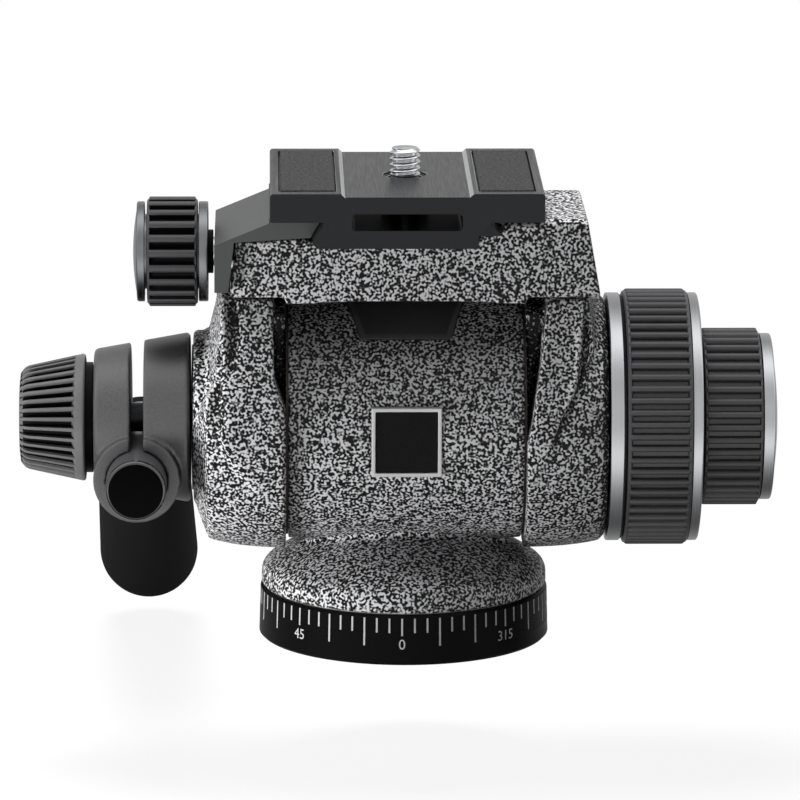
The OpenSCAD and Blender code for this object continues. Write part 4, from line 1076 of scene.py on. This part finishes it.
@dataclass
class CameraPlate:
    """The camera plate: a milled dovetail plate with two pads and a threaded screw. Millimetres."""

    plate_edge: float = 0.25
    pad_edge: float = 0.35
    channel_half: float = 14.5
    slot_half: float = 11.7
    slot_foot: float = 3.6
    slot_top: float = 7.2
    end_margin: float = 0.3
    pitch: float = 1.27
    major_r: float = 3.175
    minor_r: float = 2.5
    root_share: float = 0.1
    flank_share: float = 0.75
    thread_sink: float = 0.6
    neck_r: float = 3.0
    head_t: float = 2.2
    tip_cut: float = 0.6
    around: int = 48
    rows_in_pitch: int = 12

    def thread_r(self, height: float, turn: float, top: float) -> float:
        """The thread's radius at a point.

        Args:
            height: The point's height above the thread's start.
            turn: Its angle as a share of a turn.
            top: The height of the screw's tip.

        Returns:
            The radius.
        """
        wave = abs(2 * ((height / self.pitch - turn) % 1.0) - 1)
        crest = min(1.0, max(0.0, (wave - self.root_share) / self.flank_share))
        r = self.minor_r + (self.major_r - self.minor_r) * crest
        return min(r, self.major_r - self.tip_cut + (top - height))

    def screw(self) -> bmesh.types.BMesh:
        """Builds the camera screw: a head, a neck and a real thread.

        Returns:
            The screw.
        """
        low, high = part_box("camera_screw")
        head_r = (high.x - low.x) / 2
        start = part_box("camera_plate")[1].z - self.thread_sink * MM
        length = (high.z - start) / MM
        shape = bmesh.new()
        heights: list[tuple[float, Callable[[float], float]]] = [
            (low.z, lambda turn: head_r), (low.z + self.head_t * MM, lambda turn: head_r),
            (low.z + self.head_t * MM, lambda turn: self.neck_r * MM), (start, lambda turn: self.neck_r * MM),
        ]
        count = int(length / self.pitch * self.rows_in_pitch)
        for row in range(count + 1):
            h = length * row / count
            heights.append((start + h * MM, lambda turn, h=h: self.thread_r(h, turn, length) * MM))
        rings = []
        for z, radius in heights:
            turns = [i / self.around for i in range(self.around)]
            rings.append([shape.verts.new(Matrix.Rotation(2 * math.pi * t, 3, "Z") @ Vector((radius(t), 0, z)))
                          for t in turns])
        for one, two in zip(rings, rings[1:]):
            for i in range(self.around):
                j = (i + 1) % self.around
                shape.faces.new((one[i], one[j], two[j], two[i]))
        shape.faces.new(rings[0])
        shape.faces.new(rings[-1])
        bmesh.ops.recalc_face_normals(shape, faces=shape.faces)
        return shape

    def cut_edges(self, plate: bpy.types.Object) -> None:
        """Dulls the plate's ends, paints shade inside its slot with the black anodised finish, and bares the slanted
        sides of its channel.

        Args:
            plate: The dressed plate.
        """
        low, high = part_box("camera_plate")
        margin = self.end_margin * MM
        refinish(plate, SAWN_ANODISED, lambda place, facing: abs(facing.y) > 0.9)
        # Painted shade: the inside of the slot is drawn black
        refinish(plate, BLACK_ANODISED, lambda place, facing: (
            abs(place.x) < self.slot_half * MM and low.y + margin < place.y < high.y - margin
            and self.slot_foot * MM < place.z - low.z < self.slot_top * MM))
        refinish(plate, CUT_EDGE, lambda place, facing: (
            abs(place.x) < self.channel_half * MM and place.z - low.z > self.slot_top * MM
            and 0.3 < abs(facing.x) < 0.95 < 2 * facing.z))

    def build(self) -> None:
        """Makes the plate, its pads and its screw, and dresses them."""
        plate = milled("plate_block", "camera_plate", self.plate_edge)
        dress(plate, GREY_ANODISED, "plate", "camera_plate")
        self.cut_edges(plate)
        for side in ("left", "right"):
            dress(milled(f"pad_{side}_rubber", f"pad_{side}", self.pad_edge), PAD_RUBBER, "plate", f"pad_{side}")
        dress(piece_from("threaded_screw", self.screw(), 50), BRIGHT_STEEL, "plate_screw", "camera_screw")


@dataclass
class HandleSide:
    """The pan bar's side: a split clamp, a fluted cone knob, and the bent bar with its grip. Millimetres."""

    clamp_voxel: float = 0.35
    clamp_passes: int = 4
    flutes: int = 36
    flute_h: float = 1.6
    ridge_share: float = 0.54
    ridge_top: float = 0.7
    ridge_stations: tuple[float, ...] = (-0.02, 0.3, 0.6, 0.84, 0.9, 0.95, 0.985)
    bend_from: float = 0.84
    dull_share: float = 0.45
    rim_w: float = 2.1
    rim_outer_edge: float = 0.8
    rim_inner_edge: float = 0.3
    insert_r: float = 6.02
    insert_len: float = 9.65
    end_round: float = 1.5
    small_r: float = 10.3
    sharp_deg: float = 50.0
    plug_crown: float = 0.3
    plug_crown_share: float = 0.8
    plug_rim: float = 0.45
    plug_round: float = 0.9
    stem_share: float = 0.7

    def cone(self) -> bmesh.types.BMesh:
        """Builds the cone knob: a plain rim at its wide end, and ridges from there to its rounded end.

        Returns:
            The knob.
        """
        span = Span.of("cone_knob")
        rim, small, drop = span.r, self.small_r * MM, self.flute_h * MM
        wide, tip, bore = span.x1, span.x0, self.insert_r * MM
        seat = wide - self.insert_len * MM
        rim_end = wide - self.rim_w * MM
        slope = (rim - small) / (wide - tip)
        at_rim_end = rim - slope * (wide - rim_end)
        shape = lathe(rounded([
            (wide, bore, 0), (wide, rim, self.rim_outer_edge * MM), (rim_end, at_rim_end, self.rim_inner_edge * MM),
            (rim_end - drop * 0.4, at_rim_end - drop, 0), (tip, small - drop * 0.7, self.end_round * MM), (tip, 0, 0),
            (seat, 0, 0), (seat, bore, 0),
        ]), span.z)
        pitch = 360 / self.flutes
        stations = []
        for share in self.ridge_stations:
            x = rim_end + (tip - rim_end) * share
            bent = max(0.0, (share - self.bend_from) / (self.ridge_stations[-1] - self.bend_from))
            full = rim - slope * (wide - x) - self.end_round * MM * bent ** 2 * 0.8
            stations.append((x, full - drop * 1.15, full))
        ridge = bar(stations, pitch * self.ridge_share, self.ridge_top)
        turn = Vector((math.radians(pitch), 0, 0))
        shape.from_mesh(ring_of(ridge, self.flutes, turn, Vector((0, 0, span.z)), PLASTIC))
        return shape

    def plug(self) -> bmesh.types.BMesh:
        """Turns the plug in the bar's front end, a low dome with a rounded edge, about the bar's axis along y.

        Returns:
            The plug.
        """
        low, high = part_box("bar_end_plug")
        r, middle, depth = (high.x - low.x) / 2, (low + high) / 2, high.y - low.y
        flange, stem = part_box("pan_bar")[0].y - low.y, r * self.stem_share
        shape = lathe(rounded([
            (0, 0, 0), (self.plug_crown * MM, r * self.plug_crown_share, 0),
            (self.plug_rim * MM, r, self.plug_round * MM), (flange, r, 0), (flange, stem, 0), (depth, stem, 0),
            (depth, 0, 0),
        ], 6), 0, 96)
        turn = Matrix.Translation(Vector((middle.x, low.y, middle.z))) @ Matrix.Rotation(math.pi / 2, 4, "Z")
        bmesh.ops.transform(shape, matrix=turn, verts=shape.verts)
        return shape

    def build(self) -> None:
        """Makes the clamp, the knob and the bar, and dresses them."""
        clamp = cast("split_clamp", "bar_clamp", self.clamp_voxel, self.clamp_passes)
        dress(clamp, POWDER, "bar_clamp", "bar_clamp")
        cone = dress(piece_from("fluted_cone", self.cone(), self.sharp_deg), PLASTIC, "cone_knob", "cone_knob")
        span = Span.of("cone_knob")
        slope = (span.r - self.small_r * MM) / (span.x1 - span.x0)
        # Painted shade: the bottom of the flutes is drawn black and dull, but not the end face that looks to -x
        refinish(cone, FLUTE_SHADE, lambda place, facing: facing.x > -0.6 and off_axis(place, span.z) < (
            span.r - slope * (span.x1 - place.x) - self.flute_h * MM * (1 - self.dull_share)))
        paint("cone_knob_neck", BLACK_ANODISED)
        paint("handle_stud", DARK_STEEL)
        paint("pan_bar", BAR_COAT)
        # Painted highlight and shade: the plug's rounded edge reflects strongly, its flat face hardly at all
        plug = dress(piece_from("domed_plug", self.plug()), PLUG_EDGE_HIGHLIGHT, "bar", "bar_end_plug")
        refinish(plug, GLOSS_PLASTIC, lambda place, facing: facing.y < -0.93)
        paint("bar_grip", FOAM)


@dataclass
class Studio:
    """Plain studio: the camera at the photograph's place, a soft light above, and a pale floor. Millimetres."""

    focal_px: float = 6390.0
    picture_px: float = 800.0
    sensor: float = 36.0
    distance: float = 1321.0
    yaw_deg: float = 1.248
    pitch_deg: float = 12.147
    roll_deg: float = 0.174
    target: tuple[float, float, float] = (-0.86, 0.0, 48.95)
    floor_z: float = -27.0
    glow: float = 0.9
    shadow_reach: float = 160.0
    top_light_w: float = 14.0
    top_light_size: float = 400.0
    top_light_at: Corner = (-120.0, 120.0, 1050.0)
    top_light_aim: Corner = (0.0, 0.0, 50.0)
    card_w: float = 0.66
    card_size: float = 70.0
    card_at: Corner = (-190.0, -90.0, -18.0)
    card_aim: Corner = (0.0, 0.0, 40.0)
    ambient: float = 0.05
    brightest: float = 2.5
    room: tuple[tuple[float, float], ...] = (
        (-180, 0.6), (-135, 0.4), (-107, 0.16), (-88, 0.25), (-72, 0.4), (-58, 0.75), (-45, 1.3), (-33, 1.95),
        (-21, 2.0), (-9, 1.5), (2, 1.15), (24, 1.25), (40, 1.05), (58, 1.2), (71, 1.8), (84, 2.5), (99, 2.3),
        (115, 1.3), (135, 0.65), (150, 0.72), (180, 0.72),
    )

    def camera(self) -> None:
        """Sets the camera where the photograph was taken from."""
        yaw, pitch, roll = (math.radians(a) for a in (self.yaw_deg, self.pitch_deg, self.roll_deg))
        forward = Vector((math.sin(yaw) * math.cos(pitch), math.cos(yaw) * math.cos(pitch), -math.sin(pitch)))
        level = Vector((math.cos(yaw), -math.sin(yaw), 0))
        above = level.cross(forward)
        right = level * math.cos(roll) + above * math.sin(roll)
        up = above * math.cos(roll) - level * math.sin(roll)
        lens = bpy.data.cameras.new("camera")
        lens.sensor_width, lens.lens = self.sensor, self.focal_px / self.picture_px * self.sensor
        lens.clip_start, lens.clip_end = 0.05, 20
        held = bpy.data.objects.new("camera", lens)
        bpy.context.scene.collection.objects.link(held)
        held.matrix_world = Matrix((right, up, -forward)).transposed().to_4x4()
        held.location = (Vector(self.target) - forward * self.distance) * MM
        bpy.context.scene.camera = held

    def light(self, name: str, place: Corner, aim: Corner, size: float, watts: float) -> None:
        """Hangs a square soft light.

        Args:
            name: Its name.
            place: Where it hangs.
            aim: The point that it faces.
            size: Its side.
            watts: Its power.
        """
        lamp = bpy.data.lights.new(name, "AREA")
        lamp.size, lamp.energy = size * MM, watts
        hung = bpy.data.objects.new(name, lamp)
        bpy.context.scene.collection.objects.link(hung)
        hung.location = Vector(place) * MM
        hung.rotation_euler = (Vector(aim) - Vector(place)).to_track_quat("-Z", "Y").to_euler()
        hung.visible_camera = hung.visible_glossy = False

    def surroundings(self) -> None:
        """Makes the world: white to the eye, and for what reflects it a room with soft boxes above and on the floor.

        The room's stops go by the angle above the horizon: 0 in front, 90 overhead, 180 behind and -90 below.
        """
        world = bpy.data.worlds.new("studio")
        world.use_nodes = True
        bpy.context.scene.world = world
        tree = world.node_tree
        rays = add(tree, "ShaderNodeLightPath").outputs
        seen = add(tree, "ShaderNodeMath", {0: rays["Is Camera Ray"], 1: rays["Is Transmission Ray"]},
                   operation="MAXIMUM")
        way = add(tree, "ShaderNodeSeparateXYZ", {"Vector": add(tree, "ShaderNodeTexCoord").outputs["Generated"]})
        front = add(tree, "ShaderNodeMath", {0: way.outputs["Y"], 1: -1.0}, operation="MULTIPLY")
        angle = add(tree, "ShaderNodeMath", {0: way.outputs["Z"], 1: front.outputs[0]}, operation="ARCTAN2")
        share = add(tree, "ShaderNodeMath", {0: angle.outputs[0], 1: 0.5 / math.pi, 2: 0.5}, operation="MULTIPLY_ADD")
        ramp = add(tree, "ShaderNodeValToRGB", {"Fac": share.outputs[0]})
        stops = ramp.color_ramp.elements
        for i, (degrees, level) in enumerate(self.room):
            stop = stops[i] if i in (0, len(self.room) - 1) and i < len(stops) else stops.new(degrees / 360 + 0.5)
            stop.position, stop.color = degrees / 360 + 0.5, (*[level / self.brightest] * 3, 1.0)
        room = add(tree, "ShaderNodeMath", {0: ramp.outputs["Color"], 1: self.brightest}, operation="MULTIPLY")
        level = add(tree, "ShaderNodeMix", {"Factor": rays["Is Glossy Ray"], "A": self.ambient, "B": room.outputs[0]})
        strength = add(tree, "ShaderNodeMix", {"Factor": seen.outputs[0], "A": level.outputs["Result"], "B": 1.0})
        tree.links.new(strength.outputs["Result"], tree.nodes["Background"].inputs["Strength"])
        tree.nodes["Background"].inputs["Color"].default_value = linear("#ffffff")

    def floor(self) -> None:
        """Lays the pale floor, which keeps the head's soft shadow."""
        shape = bmesh.new()
        bmesh.ops.create_grid(shape, x_segments=1, y_segments=1, size=4.0)
        for v in shape.verts:
            v.co.z = self.floor_z * MM
        laid = piece_from("floor", shape)
        paper = bpy.data.materials.new("white paper")
        paper.use_nodes = True
        tree = paper.node_tree
        rays = add(tree, "ShaderNodeLightPath").outputs
        seen = add(tree, "ShaderNodeMath", {0: rays["Is Camera Ray"], 1: rays["Is Transmission Ray"]},
                   operation="MAXIMUM")
        tone = add(tree, "ShaderNodeMix", {"Factor": seen.outputs[0], 6: linear("#888888"), 7: linear("#ffffff")},
                   data_type="RGBA")
        lit = add(tree, "ShaderNodeBsdfDiffuse", {"Color": tone.outputs[2]})
        place = add(tree, "ShaderNodeTexCoord").outputs["Object"]
        away = add(tree, "ShaderNodeVectorMath", {0: place}, operation="LENGTH").outputs["Value"]
        near = self.shadow_reach * MM
        glow = add(tree, "ShaderNodeMapRange", {
            "Value": away, "From Min": near, "From Max": 3 * near, "To Min": self.glow, "To Max": 1.0,
        }, interpolation_type="SMOOTHSTEP")
        share = add(tree, "ShaderNodeMath", {0: seen.outputs[0], 1: glow.outputs["Result"]}, operation="MULTIPLY")
        white = add(tree, "ShaderNodeEmission", {"Strength": 1.0})
        mixed = add(tree, "ShaderNodeMixShader", {0: share.outputs[0], 1: lit.outputs[0], 2: white.outputs[0]})
        tree.links.new(mixed.outputs[0], tree.nodes["Material Output"].inputs["Surface"])
        laid.data.materials.append(paper)
        laid.visible_glossy = False

    def build(self) -> None:
        """Sets up the camera, the lights and the floor."""
        bpy.context.scene.view_settings.view_transform = "Standard"
        self.camera()
        self.light("top light", self.top_light_at, self.top_light_aim, self.top_light_size, self.top_light_w)
        self.light("white card", self.card_at, self.card_aim, self.card_size, self.card_w)
        self.surroundings()
        self.floor()


def main() -> None:
    """Builds the head's sub-assemblies in order and dresses what stays as packed."""
    logging.basicConfig(level=logging.INFO, format="%(name)s: %(message)s")
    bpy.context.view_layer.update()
    Studio().build()
    for assembly in (PanBase(), PanHousing(), Cradle(), SideKnobs(), PlateClamp(), CameraPlate(), HandleSide()):
        assembly.build()
    known = {finish.name for finish in (*FINISH_OF.values(), FOAM, BAR_COAT)}
    for node, shown in frame["nodes"].items():
        if not shown.hide_render and shown.active_material.name not in known:
            paint(node, FINISH_OF[SLOT_OF[node]])


if __name__ == "__main__":
    main()
